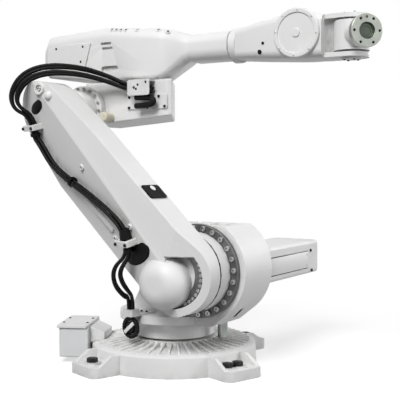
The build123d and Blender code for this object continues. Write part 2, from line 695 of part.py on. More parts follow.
def wrist_casting():
    """Wrist that deepens from the collar to its side covers, then forks round the tilting axis."""
    start = TUBE_END_X + COLLAR_T
    throat = WRIST_X - TILT_R - 2 * TURN_GAP
    half = WRIST_W / 2
    neck = COLLAR_R - 8
    top = COVER_R + COVER_LIFT
    end = FORK_INNER + FORK_T
    low = COVER_LIFT - COVER_R
    by = COVER_R / 2
    shape = ((start, -neck, neck, COLLAR_R - 4), (start + WRIST_NECK, -neck - 4, neck + 8, half),
             (COVER_X - by, low + 2, top - 12, half), (COVER_X, low, top, half),
             (COVER_X + by, low, top - 12, half), (throat, -end, end, half))
    body = loft([section(*values, WRIST_ROUND, WRIST_ROUND) for values in shape], ruled=True)
    root = half - WRIST_ROUND - CHEEK_R
    back = throat - WRIST_ROUND
    plan = hull((WRIST_X, 0, TILT_R), (back, -root, CHEEK_R), (back, root, CHEEK_R))
    body += extrude(Plane.XY.offset(ARM_AXIS_Z - end) * plan, 2 * end)
    return body - Pos(throat + 2 * TILT_R, 0, ARM_AXIS_Z) * Box(4 * TILT_R, 4 * TILT_R, 2 * FORK_INNER)


def wrist_collar():
    """Round collar that the wrist turns on."""
    return extrude(Plane.YZ.offset(TUBE_END_X) * Pos(0, ARM_AXIS_Z) * Circle(COLLAR_R), COLLAR_T)


def wrist_cover(side, radius):
    """Round side cover with a sunk face and a small centre boss."""
    cover = Cylinder(radius, COVER_T) - Pos(0, 0, COVER_T / 2) * Cylinder(radius - 15, 8)
    cover += Pos(0, 0, COVER_T / 2 - 3) * Cylinder(13, 6)
    cover = chamfer(cover.edges().group_by(Axis.Z)[-1].sort_by(SortBy.RADIUS)[-1], 3)
    y = side * (WRIST_W + COVER_T) / 2
    return Pos(COVER_X, y, ARM_AXIS_Z + COVER_LIFT) * Rot(-90 * side, 0, 0) * cover


def fork_cap(side):
    """Round cap over the fork's bearing."""
    z = ARM_AXIS_Z + side * (FORK_INNER + FORK_T + CAP_T / 2)
    return Pos(WRIST_X, 0, z) * Cylinder(CAP_R, CAP_T)


def bend():
    """Place at the tilting axis, with X out through the tool flange."""
    return Pos(WRIST_X, 0, ARM_AXIS_Z) * Rot(0, 0, -WRIST_BEND)


def out_cylinder(radius, start, stop):
    """Round solid along the flange's axis."""
    return Pos((start + stop) / 2, 0, 0) * Rot(0, 90, 0) * Cylinder(radius, stop - start)


def tilt_housing():
    """Tilting end of the wrist, between the fork's cheeks."""
    seat = FLANGE_REACH - FLANGE_T
    body = Cylinder(TILT_R, 2 * (FORK_INNER - TURN_GAP))
    body += Cylinder(CAP_R - 4, 2 * (FORK_INNER - SEAT_GAP))
    body += out_cylinder(BARREL_R, 0, seat - TURN_GAP)
    return bend() * (body + out_cylinder(FLANGE_BORE_R + 8, 0, seat - SEAT_GAP))


def tool_flange():
    """Round flange with its bolt circle, dowel hole and centring bore."""
    flange = out_cylinder(FLANGE_R, FLANGE_REACH - FLANGE_T, FLANGE_REACH)
    flange = chamfer(flange.edges().group_by(Axis.X)[-1], 1.5)
    flange -= out_cylinder(FLANGE_BORE_R, FLANGE_REACH - FLANGE_BORE_D, FLANGE_REACH + 5)
    radius = FLANGE_PCD / 2
    for i in range(FLANGE_HOLES):
        turn = math.radians(i * 360 / FLANGE_HOLES)
        hole = Pos(0, radius * math.cos(turn), radius * math.sin(turn))
        flange -= hole * out_cylinder(FLANGE_HOLE_R, FLANGE_REACH - 2 * FLANGE_T, FLANGE_REACH + 5)
    turn = math.radians(DOWEL_ANGLE)
    dowel = Pos(0, radius * math.cos(turn), radius * math.sin(turn))
    return bend() * (flange - dowel * out_cylinder(DOWEL_R, FLANGE_REACH - 8, FLANGE_REACH + 5))


def build():
    """Every node of the robot, by name."""
    return {
        "base_casting": base_casting(),
        "connector_box": connector_box(),
        "connector_lid": connector_lid(),
        "cable_duct": cable_duct(),
        "turret_drum": turret_drum(),
        "shoulder_frame": shoulder_frame(),
        "gearbox_ring": disc(SHOULDER_X, SHOULDER_Z, RING_R, FRAME_NEAR_Y, RING_NEAR_Y),
        "gearbox_body": disc(SHOULDER_X, SHOULDER_Z, GEAR_R, RING_NEAR_Y, GEAR_FACE_Y)
        + disc(SHOULDER_X, SHOULDER_Z, GEAR_SPIGOT_R, GEAR_FACE_Y, ARM_FAR_Y + SEAT_GAP),
        "axis2_motor_cover": axis2_motor_cover(),
        "axis1_motor_cover": axis1_motor_cover(),
        "stop_post": stop_post(),
        "cable_anchor": cable_anchor(),
        "conduit_loop": conduit_loop(),
        "shoulder_cables": shoulder_cables(),
        "lower_arm_casting": lower_arm_casting(),
        "hub_ring": hub_ring(),
        "lower_cap": arm_cap(LOW_CAP, SlotOverall(LOW_CAP_LEN - SEAT_GAP, LOW_CAP_W - SEAT_GAP)),
        "upper_cap": arm_cap(HIGH_CAP, SlotOverall(HIGH_CAP_LEN - SEAT_GAP, HIGH_CAP_W - SEAT_GAP)),
        "side_plate": side_plate(),
        "lower_clamp": clamp(LOW_CLAMP),
        "upper_clamp": clamp(HIGH_CLAMP),
        "arm_cables": arm_cables(),
        "upper_arm_casting": upper_arm_casting(),
        "rear_cover": rear_cover(),
        "axis3_housing": axis3_housing(),
        "axis3_gearbox": axis3_gearbox(),
        "axis3_motor_cover": axis3_motor_cover(),
        "cable_bracket": cable_bracket(),
        "backing_plate": backing_plate(),
        "connector_hose": connector_hose(),
        "stop_damper": stop_damper(),
        "elbow_cables": elbow_cables(),
        "wrist_collar": wrist_collar(),
        "wrist_casting": wrist_casting(),
        "near_wrist_cover": wrist_cover(-1, COVER_R),
        "far_wrist_cover": wrist_cover(1, FAR_COVER_R),
        "fork_cap_top": fork_cap(1),
        "fork_cap_bottom": fork_cap(-1),
        "tilt_housing": tilt_housing(),
        "tool_flange": tool_flange(),
    }


os.makedirs("parts", exist_ok=True)
for name, shape in build().items():
    export_step(shape, f"parts/{name}.step")
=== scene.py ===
import json
import math

import bmesh
import bpy
from mathutils import Matrix, Vector
from mathutils.bvhtree import BVHTree


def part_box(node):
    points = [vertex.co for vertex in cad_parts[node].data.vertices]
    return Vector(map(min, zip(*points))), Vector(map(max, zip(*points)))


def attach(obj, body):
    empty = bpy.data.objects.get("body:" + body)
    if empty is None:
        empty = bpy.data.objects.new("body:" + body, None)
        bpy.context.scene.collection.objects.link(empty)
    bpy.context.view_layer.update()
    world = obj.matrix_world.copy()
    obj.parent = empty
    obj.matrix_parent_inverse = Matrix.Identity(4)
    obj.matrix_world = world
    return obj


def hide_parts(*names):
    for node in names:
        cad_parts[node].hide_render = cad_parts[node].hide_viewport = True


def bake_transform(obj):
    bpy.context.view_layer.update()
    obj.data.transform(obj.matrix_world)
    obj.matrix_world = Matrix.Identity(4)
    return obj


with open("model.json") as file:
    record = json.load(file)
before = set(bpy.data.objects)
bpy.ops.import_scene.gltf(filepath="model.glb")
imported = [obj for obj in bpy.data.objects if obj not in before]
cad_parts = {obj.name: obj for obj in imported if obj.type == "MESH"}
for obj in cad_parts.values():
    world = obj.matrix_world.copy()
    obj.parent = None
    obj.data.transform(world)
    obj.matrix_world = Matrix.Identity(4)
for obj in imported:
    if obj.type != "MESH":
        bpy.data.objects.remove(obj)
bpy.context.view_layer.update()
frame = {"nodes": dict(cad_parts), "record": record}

NODES = frame["nodes"]
scene = bpy.context.scene

# Axes and faces of the robot, in metres, as in the part's source
SHOULDER = Vector((0.175, 0, 0.340))
ELBOW = Vector((-0.310, 0, 0.882))
ARM_AXIS_Z = 1.088
WRIST = Vector((0.661, 0, ARM_AXIS_Z))
WRIST_BEND = math.radians(46)
FLANGE_REACH = 0.122
RING_NEAR_Y = -0.128
ARM_NEAR_Y = -0.310
HUB_RING_Y = -0.253
COVER_X = 0.511
COVER_Y = 0.086
COVER_Z = ARM_AXIS_Z + 0.013
FACET_START = -0.010
FACET_SLOPE = math.radians(22)
HEEL_START = -0.012
HEEL_SLOPE = math.radians(22)
HEEL_SIDE = math.radians(210)
BASE_TURN_DEG = 26

# Directions of the robot and of its leaning lower arm
NEAR = Vector((0, -1, 0))
FAR = Vector((0, 1, 0))
FRONT = Vector((1, 0, 0))
UP = Vector((0, 0, 1))
DOWN = Vector((0, 0, -1))
ALONG = (ELBOW - SHOULDER).normalized()
ACROSS = Vector((-ALONG.z, 0, ALONG.x))
ARM_LEN = (ELBOW - SHOULDER).length
FACET_OUT = NEAR * math.cos(FACET_SLOPE) + ACROSS * math.sin(FACET_SLOPE)

# Cables: sizes and routes, as in the part's source
CABLE_COUNT = 4
CABLE_R = 0.0058
CABLE_PITCH = 0.0124
CABLE_FAN = 1.1
BUNDLE_SIDE = Vector((0.43, -0.86, 0.26))
HOSE_R = 0.010
SHOULDER_ROUTE = [
    (-0.0303, -0.2159, 0.208), (-0.0303, -0.2159, 0.248), (-0.006, -0.274, 0.268), (-0.014, -0.31, 0.31),
    (-0.008, -0.322, 0.356), (0.0244, -0.2969, 0.4027), (0.0215, -0.3065, 0.4415),
]
ARM_ROUTE = [
    (0.0215, -0.3065, 0.4415), (0.0186, -0.3161, 0.4802), (-0.031, -0.3136, 0.5265),
    (-0.1235, -0.3002, 0.5804), (-0.2219, -0.2837, 0.629), (-0.3232, -0.2683, 0.6847),
    (-0.3764, -0.2736, 0.764), (-0.3967, -0.2727, 0.7833), (-0.3995, -0.2822, 0.822),
]
ELBOW_ROUTE = [
    (-0.3995, -0.2822, 0.822), (-0.4024, -0.2918, 0.8607), (-0.438, -0.33, 0.888), (-0.444, -0.334, 0.936),
    (-0.41, -0.316, 0.993), (-0.35, -0.274, 1.022), (-0.258, -0.204, 1.018), (-0.17, -0.15, 0.988),
    (-0.098, -0.126, 0.953), (-0.004, -0.126, 0.947),
]
HOSE_ROUTE = [
    (-0.068, -0.1333, 0.921), (-0.007, -0.1333, 0.921), (0.01, -0.1333, 0.9065), (-0.007, -0.1333, 0.892),
    (-0.068, -0.1333, 0.892),
]

# Limits used in cleaning and shading meshes
SAME_POINT = 1e-6
SAME_CAD_POINT = 2e-5
FLAT_ANGLE = math.radians(0.6)
EDGE_ANGLE = math.radians(32)
CABLE_EDGE_ANGLE = math.radians(50)


# Node groups shared by the finishes

CLOUD_COLOUR = (0.50, 0.49, 0.46, 1)
# Painted shade in creases, mixed with dusty specks: its dark colour and how far it reaches
CREASE_SHADE_AND_DUST_COLOUR = (0.22, 0.21, 0.19, 1)
CREASE_REACH = 0.03
SURFACE = [("Colour", "Color"), ("Roughness", "Float"), ("Height", "Float")]


def group(name, sockets_in, sockets_out):
    """Empty shader group with its named sockets."""
    tree = bpy.data.node_groups.new(name, "ShaderNodeTree")
    for label, kind, value in sockets_in:
        socket = tree.interface.new_socket(label, in_out="INPUT", socket_type="NodeSocket" + kind)
        socket.default_value = value
    for label, kind in sockets_out:
        tree.interface.new_socket(label, in_out="OUTPUT", socket_type="NodeSocket" + kind)
    return tree, tree.nodes.new("NodeGroupInput"), tree.nodes.new("NodeGroupOutput")


def node(tree, kind, links=(), **settings):
    """Shader node with its settings, then its input sockets filled or linked."""
    made = tree.nodes.new("ShaderNode" + kind)
    for key, value in settings.items():
        setattr(made, key, value)
    for key, value in dict(links).items():
        if isinstance(value, bpy.types.NodeSocket):
            tree.links.new(value, made.inputs[key])
        else:
            made.inputs[key].default_value = value
    return made


def noise(tree, scale, detail=3.0, stretch=(1, 1, 1)):
    """Noise on the piece's own coordinates."""
    coords = node(tree, "TexCoord").outputs["Object"]
    place = node(tree, "Mapping", {"Vector": coords, "Scale": stretch})
    made = node(tree, "TexNoise", {"Vector": place.outputs["Vector"], "Scale": scale, "Detail": detail})
    return made.outputs["Fac"]


def ranged(tree, value, low, high, out_low, out_high):
    """Value moved from one range to another."""
    links = {"Value": value, "From Min": low, "From Max": high, "To Min": out_low, "To Max": out_high}
    return node(tree, "MapRange", links).outputs["Result"]


def worked(tree, operation, a, b):
    """Result of one sum on two values."""
    return node(tree, "Math", {0: a, 1: b}, operation=operation).outputs[0]


def mixed(tree, factor, a, b):
    """Colour between two colours."""
    made = node(tree, "Mix", data_type="RGBA")
    for index, value in ((0, factor), (6, a), (7, b)):
        if isinstance(value, bpy.types.NodeSocket):
            tree.links.new(value, made.inputs[index])
        else:
            made.inputs[index].default_value = value
    return made.outputs[2]


def paint_film():
    """Sprayed enamel: faint cloudiness, a fine orange peel, and painted shade in creases and corners, mixed
    with dusty specks.
    """
    sockets = [("Colour", "Color", (0.8, 0.8, 0.8, 1)), ("Shade and dust", "Float", 0.3), ("Gloss", "Float", 0.3)]
    tree, ins, outs = group("Paint film", sockets, SURFACE)
    cloud = ranged(tree, noise(tree, 4.0), 0.35, 0.65, 0.0, 0.07)
    colour = mixed(tree, cloud, ins.outputs["Colour"], CLOUD_COLOUR)
    # Painted shade: ambient occlusion darkens creases and corners, broken up by dusty specks
    shut = node(tree, "AmbientOcclusion", {"Distance": CREASE_REACH}, samples=6).outputs["AO"]
    crease_shade = ranged(tree, shut, 0.35, 0.9, 1.0, 0.0)
    speck = ranged(tree, noise(tree, 34.0, 6.0), 0.42, 0.66, 0.2, 1.0)
    crease_shade_and_dust = worked(tree, "MULTIPLY", worked(tree, "MULTIPLY", crease_shade, speck), ins.outputs["Shade and dust"])
    tree.links.new(mixed(tree, crease_shade_and_dust, colour, CREASE_SHADE_AND_DUST_COLOUR), outs.inputs["Colour"])
    wipe = ranged(tree, noise(tree, 9.0, 5.0, (1, 1, 2.5)), 0.3, 0.7, -0.05, 0.07)
    tree.links.new(worked(tree, "ADD", ins.outputs["Gloss"], wipe), outs.inputs["Roughness"])
    tree.links.new(noise(tree, 420.0, 2.0), outs.inputs["Height"])
    return tree


def metal_grain():
    """Bare metal: mottled tone with fine scratches."""
    sockets = [("Colour", "Color", (0.5, 0.5, 0.5, 1)), ("Dark", "Color", (0.2, 0.2, 0.2, 1)),
               ("Rough", "Float", 0.35)]
    tree, ins, outs = group("Metal grain", sockets, SURFACE)
    blotch = ranged(tree, noise(tree, 26.0, 5.0), 0.3, 0.72, 0.0, 0.8)
    tree.links.new(mixed(tree, blotch, ins.outputs["Colour"], ins.outputs["Dark"]), outs.inputs["Colour"])
    scratch = noise(tree, 160.0, 4.0, (1, 1, 9))
    swing = ranged(tree, scratch, 0.3, 0.7, -0.09, 0.12)
    tree.links.new(worked(tree, "ADD", ins.outputs["Rough"], swing), outs.inputs["Roughness"])
    tree.links.new(scratch, outs.inputs["Height"])
    return tree


def moulded_skin():
    """Rubber or plastic: fine grain and a dry, dusty bloom."""
    sockets = [("Colour", "Color", (0.02, 0.02, 0.02, 1)), ("Bloom", "Color", (0.08, 0.08, 0.08, 1)),
               ("Rough", "Float", 0.5)]
    tree, ins, outs = group("Moulded skin", sockets, SURFACE)
    bloom = ranged(tree, noise(tree, 18.0, 6.0), 0.4, 0.75, 0.0, 0.7)
    tree.links.new(mixed(tree, bloom, ins.outputs["Colour"], ins.outputs["Bloom"]), outs.inputs["Colour"])
    swing = ranged(tree, noise(tree, 60.0, 3.0), 0.3, 0.7, -0.08, 0.1)
    tree.links.new(worked(tree, "ADD", ins.outputs["Rough"], swing), outs.inputs["Roughness"])
    tree.links.new(noise(tree, 900.0, 2.0), outs.inputs["Height"])
    return tree


PAINT = paint_film()
METAL = metal_grain()
SKIN = moulded_skin()


# Finishes

# Strength of the painted crease shade and dusty specks on every enamel
PAINT_SHADE_AND_DUST = 0.5
PEEL_DEPTH = 0.0006


def finish(name, tree, values, bump, depth, **sockets):
    """Material on one of the groups, with its constants on the shader's own sockets."""
    made = bpy.data.materials.new(name)
    made.use_nodes = True
    nodes = made.node_tree
    shader = nodes.nodes["Principled BSDF"]
    effect = nodes.nodes.new("ShaderNodeGroup")
    effect.node_tree = tree
    for key, value in values.items():
        effect.inputs[key].default_value = value
    nodes.links.new(effect.outputs["Colour"], shader.inputs["Base Color"])
    nodes.links.new(effect.outputs["Roughness"], shader.inputs["Roughness"])
    relief = node(nodes, "Bump", {"Height": effect.outputs["Height"], "Strength": bump, "Distance": depth})
    nodes.links.new(relief.outputs["Normal"], shader.inputs["Normal"])
    for key, value in sockets.items():
        shader.inputs[key.replace("_", " ")].default_value = value
    return made


def enamel(name, colour, gloss, bump, **sockets):
    """Sprayed paint."""
    values = {"Colour": colour, "Shade and dust": PAINT_SHADE_AND_DUST, "Gloss": gloss}
    return finish(name, PAINT, values, bump, PEEL_DEPTH, **sockets)


def metal(name, colour, dark, rough, bump, depth, **sockets):
    """Bare or plated metal."""
    return finish(name, METAL, {"Colour": colour, "Dark": dark, "Rough": rough}, bump, depth, **sockets)


def moulding(name, colour, bloom, rough, bump, depth, **sockets):
    """Rubber or plastic."""
    return finish(name, SKIN, {"Colour": colour, "Bloom": bloom, "Rough": rough}, bump, depth, **sockets)


def grey(value, warm=0.0):
    """Neutral colour, a little warm or cool."""
    return (value * (1 + warm), value, value * (1 - warm), 1)


WHITE = enamel("white enamel", grey(0.78), gloss=0.5, bump=0.06, Coat_Weight=0.04, Coat_Roughness=0.3)
BOX_GREY = enamel("box enamel", grey(0.78, -0.01), gloss=0.36, bump=0.08)
CAST = metal("dark cast iron", grey(0.16), grey(0.055), rough=0.42, bump=0.25, depth=0.0008, Metallic=0.6)
FLANGE = metal("machined flange", (0.40, 0.42, 0.38, 1), (0.27, 0.29, 0.26, 1), rough=0.36, bump=0.12,
               depth=0.0004, Metallic=0.9)
STEEL = metal("plated steel", grey(0.46), grey(0.30), rough=0.34, bump=0.1, depth=0.0004, Metallic=0.9)
# Dark metal that paints the shade deep in the flange's bore
BORE_SHADE_METAL = metal("bore shade metal", (0.10, 0.12, 0.095, 1), (0.05, 0.06, 0.05, 1), rough=0.3, bump=0.1,
             depth=0.0003, Metallic=0.8)
ROD = metal("ground steel", (0.30, 0.32, 0.30, 1), (0.18, 0.19, 0.18, 1), rough=0.24, bump=0.05,
            depth=0.0003, Metallic=1.0)
ZINC = metal("zinc plate", grey(0.72), grey(0.56), rough=0.42, bump=0.08, depth=0.0003, Metallic=0.35)
SCREW = metal("blackened screw", grey(0.022), grey(0.010), rough=0.42, bump=0.1, depth=0.0003,
              Metallic=0.6, Specular_IOR_Level=0.2)
RUBBER = moulding("black rubber", grey(0.003), grey(0.008), rough=0.48, bump=0.15, depth=0.0004,
                  Specular_IOR_Level=0.14)
PLASTIC = moulding("black plastic", grey(0.004), grey(0.008), rough=0.55, bump=0.08, depth=0.0003,
                   Specular_IOR_Level=0.08)
NYLON = moulding("white nylon", grey(0.80), grey(0.66, 0.03), rough=0.42, bump=0.08, depth=0.0004)
CREAM = moulding("cream rubber", (0.72, 0.68, 0.55, 1), (0.5, 0.46, 0.36, 1), rough=0.55, bump=0.2,
                 depth=0.0006)

FINISH = {
    "white_paint": WHITE, "box_grey": BOX_GREY, "flange_metal": FLANGE, "dark_metal": CAST,
    "bare_steel": STEEL, "clamp_plastic": NYLON, "black_rubber": RUBBER, "black_plastic": PLASTIC,
    "cream_rubber": CREAM,
}
OWN_FINISH = {"stop_post": ROD, "cable_bracket": ZINC, "cable_anchor": ZINC}
PIECE_SLOT = {made.name: slot for slot, made in FINISH.items()}
PIECE_SLOT.update({SCREW.name: "dark_metal", ZINC.name: "bare_steel", BORE_SHADE_METAL.name: "flange_metal"})


# CAD nodes: each gets its finish, and castings are shown with rounded edges

MOTOR_COVER_EDGE = 0.013
ROUNDED = {
    "base_casting": 0.003, "connector_box": 0.003, "connector_lid": 0.002, "cable_duct": 0.003,
    "turret_drum": 0.003, "shoulder_frame": 0.006, "gearbox_ring": 0.003, "gearbox_body": 0.004,
    "axis1_motor_cover": 0.003, "lower_arm_casting": 0.005, "upper_arm_casting": 0.008, "rear_cover": 0.0015,
    "axis3_housing": 0.006, "axis3_gearbox": 0.003, "axis3_motor_cover": 0.003, "wrist_collar": 0.002,
    "wrist_casting": 0.006, "near_wrist_cover": 0.0015, "far_wrist_cover": 0.0015, "tilt_housing": 0.003,
    "tool_flange": 0.0008, "cable_bracket": 0.001, "backing_plate": 0.001, "lower_clamp": 0.002,
    "upper_clamp": 0.002, "cable_anchor": 0.0012, "stop_damper": 0.003, "stop_post": 0.0015,
    "hub_ring": 0.0006, "side_plate": 0.0015, "fork_cap_top": 0.001, "fork_cap_bottom": 0.001,
}


def body_of_node():
    """Body that carries each CAD node."""
    return {name: body for body, names in frame["record"]["behaviour"]["bodies"].items() for name in names}


BODY = body_of_node()
SLOT = {part["node"]: part["material_slot"] for part in frame["record"]["subparts"]}


def finish_of(name):
    """Finish of a CAD node."""
    return OWN_FINISH.get(name, FINISH[SLOT[name]])


def shade(mesh, angle=EDGE_ANGLE):
    """Smooth faces with sharp edges kept."""
    mesh.polygons.foreach_set("use_smooth", [True] * len(mesh.polygons))
    mesh.set_sharp_from_angle(angle=angle)


def add_object(name, mesh):
    """Object at the origin, in the scene."""
    made = bpy.data.objects.new(name, mesh)
    scene.collection.objects.link(made)
    return made


def shell(name, mesh, width, segments=3):
    """Piece that stands for a CAD node, with its edges rounded."""
    shade(mesh)
    made = add_object(name + "_shell", mesh)
    round_off = made.modifiers.new("Rounded edges", "BEVEL")
    round_off.width = width
    round_off.segments = segments
    round_off.limit_method = "ANGLE"
    round_off.angle_limit = EDGE_ANGLE
    round_off.harden_normals = True
    round_off.miter_outer = "MITER_ARC"
    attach(made, BODY[name])
    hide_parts(name)


def plain_box(name, width):
    """Smooth box in place of a CAD node, as large as it."""
    low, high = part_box(name)
    bm = bmesh.new()
    bmesh.ops.create_cube(bm, size=1)
    bmesh.ops.scale(bm, vec=high - low, verts=bm.verts[:])
    bmesh.ops.translate(bm, vec=(low + high) / 2, verts=bm.verts[:])
    mesh = bpy.data.meshes.new(name + "_shell")
    bm.to_mesh(mesh)
    bm.free()
    mesh.materials.append(finish_of(name))
    shell(name, mesh, width, segments=5)


def softened(name, width):
    """Copy of a CAD node with its edges rounded, as a casting's or a moulding's are."""
    mesh = NODES[name].data.copy()
    mesh.materials.clear()
    mesh.materials.append(finish_of(name))
    bm = bmesh.new()
    bm.from_mesh(mesh)
    bmesh.ops.remove_doubles(bm, verts=bm.verts[:], dist=SAME_CAD_POINT)
    bmesh.ops.dissolve_limit(bm, angle_limit=FLAT_ANGLE, verts=bm.verts[:], edges=bm.edges[:])
    bm.to_mesh(mesh)
    bm.free()
    shell(name, mesh, width)


for name, piece in NODES.items():
    piece.data.materials.clear()
    piece.data.materials.append(finish_of(name))
for name, width in ROUNDED.items():
    softened(name, width)
plain_box("axis2_motor_cover", MOTOR_COVER_EDGE)


# Small turned and pressed shapes

def turned(profile, steps=20):
    """Round solid about Z from its half profile of radius and height."""
    bm = bmesh.new()
    verts = [bm.verts.new((radius, 0, height)) for radius, height in profile]
    edges = [bm.edges.new(pair) for pair in zip(verts, verts[1:])]
    bmesh.ops.spin(bm, geom=verts + edges, cent=(0, 0, 0), axis=(0, 0, 1), angle=2 * math.pi, steps=steps,
                   use_merge=True)
    bmesh.ops.remove_doubles(bm, verts=bm.verts[:], dist=SAME_POINT)
    bmesh.ops.recalc_face_normals(bm, faces=bm.faces[:])
    return bm


def socket_screw(radius, height):
    """Cap screw's head with a six-sided socket."""
    edge = 0.15 * radius
    socket = 0.5 * radius
    floor = 0.35 * height
    corner_reach = 1.08
    on_socket = 1e-5
    bm = turned([(0, floor), (socket, floor), (socket, height), (radius - edge, height),
                 (radius, height - edge), (radius, 0), (0, 0)], 18)
    for vert in bm.verts:
        reach = math.hypot(vert.co.x, vert.co.y)
        if abs(reach - socket) < on_socket:
            turn = math.atan2(vert.co.y, vert.co.x) % (math.pi / 3) - math.pi / 6
            scale = math.cos(math.pi / 6) / math.cos(turn) * corner_reach
            vert.co.x *= scale
            vert.co.y *= scale
    return bm


def dome_plug(radius, height):
    """Low round plug or button head."""
    return turned([(0, height), (0.45 * radius, 0.94 * height), (0.8 * radius, 0.68 * height),
                   (radius, 0.2 * height), (radius, 0), (0, 0)], 20)


def ring_boss(radius, bore, height):
    """Cast boss with a sunk middle."""
    floor = 0.25 * height
    edge = 0.0015
    return turned([(0, floor), (bore, floor), (bore, 0.9 * height), (bore + 0.0008, height),
                   (radius - edge, height), (radius, height - edge), (radius + 0.001, 0), (0, 0)], 24)


def washer(radius, height):
    """Round flat washer."""
    return turned([(0, height), (0.92 * radius, height), (radius, 0.7 * height), (radius, 0), (0, 0)], 24)


def sleeve(low_r, high_r, bore, length):
    """Tapered rubber sleeve round a bundle, with its middle at the origin."""
    half = length / 2
    return turned([(bore, -half), (low_r, -half), (high_r, half), (bore, half), (bore, -half)], 24)


def anchor_bolt(radius, height):
    """Hexagon head with its top edge broken."""
    bm = bmesh.new()
    bmesh.ops.create_cone(bm, cap_ends=True, segments=6, radius1=radius, radius2=radius, depth=height)
    bmesh.ops.translate(bm, verts=bm.verts[:], vec=(0, 0, height / 2))
    rim = [e for e in bm.edges if all(v.co.z > height / 2 for v in e.verts)]
    bmesh.ops.bevel(bm, geom=rim, offset=0.12 * radius, segments=2, profile=0.5, material=-1, affect="EDGES")
    return bm


def slab(length, width, height, edge):
    """Flat plate with its upper edges broken."""
    bm = bmesh.new()
    bmesh.ops.create_cube(bm, size=1)
    bmesh.ops.scale(bm, vec=(length, width, height), verts=bm.verts[:])
    bmesh.ops.translate(bm, vec=(0, 0, height / 2), verts=bm.verts[:])
    top = [e for e in bm.edges if any(v.co.z > height / 2 for v in e.verts)]
    bmesh.ops.bevel(bm, geom=top, offset=edge, segments=2, profile=0.5, material=-1, affect="EDGES")
    return bm


# Places for the small shapes

def facing(point, normal, turn=0.0):
    """Place with Z along a normal."""
    spin = Vector(normal).to_track_quat("Z", "Y").to_matrix().to_4x4()
    return Matrix.Translation(point) @ spin @ Matrix.Rotation(turn, 4, "Z")


def all_facing(points, normal):
    """Places at the points, with Z along one normal."""
    return [facing(point, normal) for point in points]


def seated(node_name, points, turn=0.0):
    """Places on a node's surface, nearest to the points, facing out."""
    mesh = NODES[node_name].data
    surface = BVHTree.FromPolygons([v.co for v in mesh.vertices], [p.vertices for p in mesh.polygons])
    hits = [surface.find_nearest(Vector(p)) for p in points]
    return [facing(spot, normal, turn) for spot, normal, _, _ in hits]


def even(count, start=0.0):
    """Angles spread evenly round a circle, in radians, from a start in degrees."""
    return [math.radians(start) + i * 2 * math.pi / count for i in range(count)]


def side_circle(centre, radius, angles, normal=NEAR):
    """Places on an upright circle seen from the side, angles from +X towards +Z."""
    x, y, z = centre
    return [facing((x + radius * math.cos(a), y, z + radius * math.sin(a)), normal, a) for a in angles]


def four_corners(half_a, half_b):
    """Offsets of a rectangle's corners from its middle."""
    return [(a, b) for a in (-half_a, half_a) for b in (-half_b, half_b)]


def on_arm(along, across, y):
    """Point on the lower arm."""
    return SHOULDER + ALONG * along + ACROSS * across + Vector((0, y, 0))


def on_facet(along, across):
    """Point on the lower arm's sloping rear facet."""
    return on_arm(along, across, ARM_NEAR_Y + (across - FACET_START) * math.tan(FACET_SLOPE))


def repeated(name, bm, places, material, body):
    """One piece made of a small shape at many places."""
    seed = bpy.data.meshes.new(name + "_seed")
    bm.to_mesh(seed)
    bm.free()
    whole = bmesh.new()
    for place in places:
        before = len(whole.verts)
        whole.from_mesh(seed)
        whole.verts.ensure_lookup_table()
        bmesh.ops.transform(whole, matrix=place, verts=whole.verts[before:])
    mesh = bpy.data.meshes.new(name)
    whole.to_mesh(mesh)
    whole.free()
    bpy.data.meshes.remove(seed)
    mesh.materials.append(material)
    shade(mesh)
    made = add_object(name, mesh)
    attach(made, body)
    return made


# Base: bolts in the feet and screws of the lid

FOOT_BOLT_R = 0.340
FOOT_TOP = 0.034
FOOT_DEG = 45 + BASE_TURN_DEG
SECOND_BOLT_DEG = 128 + BASE_TURN_DEG
ANCHOR_WASHER = (0.031, 0.006)
ANCHOR_HEAD = (0.0185, 0.020)
LID_SCREW = (0.005, 0.003)
LID_SCREW_R = 0.06
LID_SCREW_RISE = 0.01


def foot_anchors():
    """Bolt and washer in each foot, and a second pair in two of the feet."""
    angles = even(4, FOOT_DEG) + even(2, SECOND_BOLT_DEG)
    feet = [facing((FOOT_BOLT_R * math.cos(a), FOOT_BOLT_R * math.sin(a), FOOT_TOP), UP, a) for a in angles]
    repeated("anchor_washers", washer(*ANCHOR_WASHER), feet, ZINC, "base")
    repeated("anchor_bolts", anchor_bolt(*ANCHOR_HEAD), feet, SCREW, "base")


def lid_screws():
    """Screw at each corner of the connector box's lid."""
    low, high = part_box("connector_lid")
    middle = (low + high) / 2
    spots = [middle + Vector((LID_SCREW_R * math.cos(a), LID_SCREW_R * math.sin(a), LID_SCREW_RISE))
             for a in even(4, FOOT_DEG)]
    repeated("lid_screws", dome_plug(*LID_SCREW), seated("connector_lid", spots), SCREW, "base")


foot_anchors()
lid_screws()


# Turret: gearbox bolts, motor covers, stop block, and dark pieces that paint the shade of a slot and of the
# gap by the gearbox

GEARBOX_BOLT = (0.0085, 0.009)
GEARBOX_BOLT_R = 0.1435
GEARBOX_BOLT_COUNT = 24
GEARBOX_BOLT_DEG = 4
SPIN_MOTOR_X = -0.040
SPIN_MOTOR_Y = 0.130
SPIN_MOTOR_TOP = 0.39
SPIN_MOTOR_BOLT = (0.005, 0.005)
SPIN_MOTOR_BOLT_R = 0.036
PANEL = Vector((0.316, 0.268, 0.3335))
PANEL_LEN = 0.328
PANEL_H = 0.060
PANEL_RISE = 0.0045
PANEL_EDGE = 0.0015
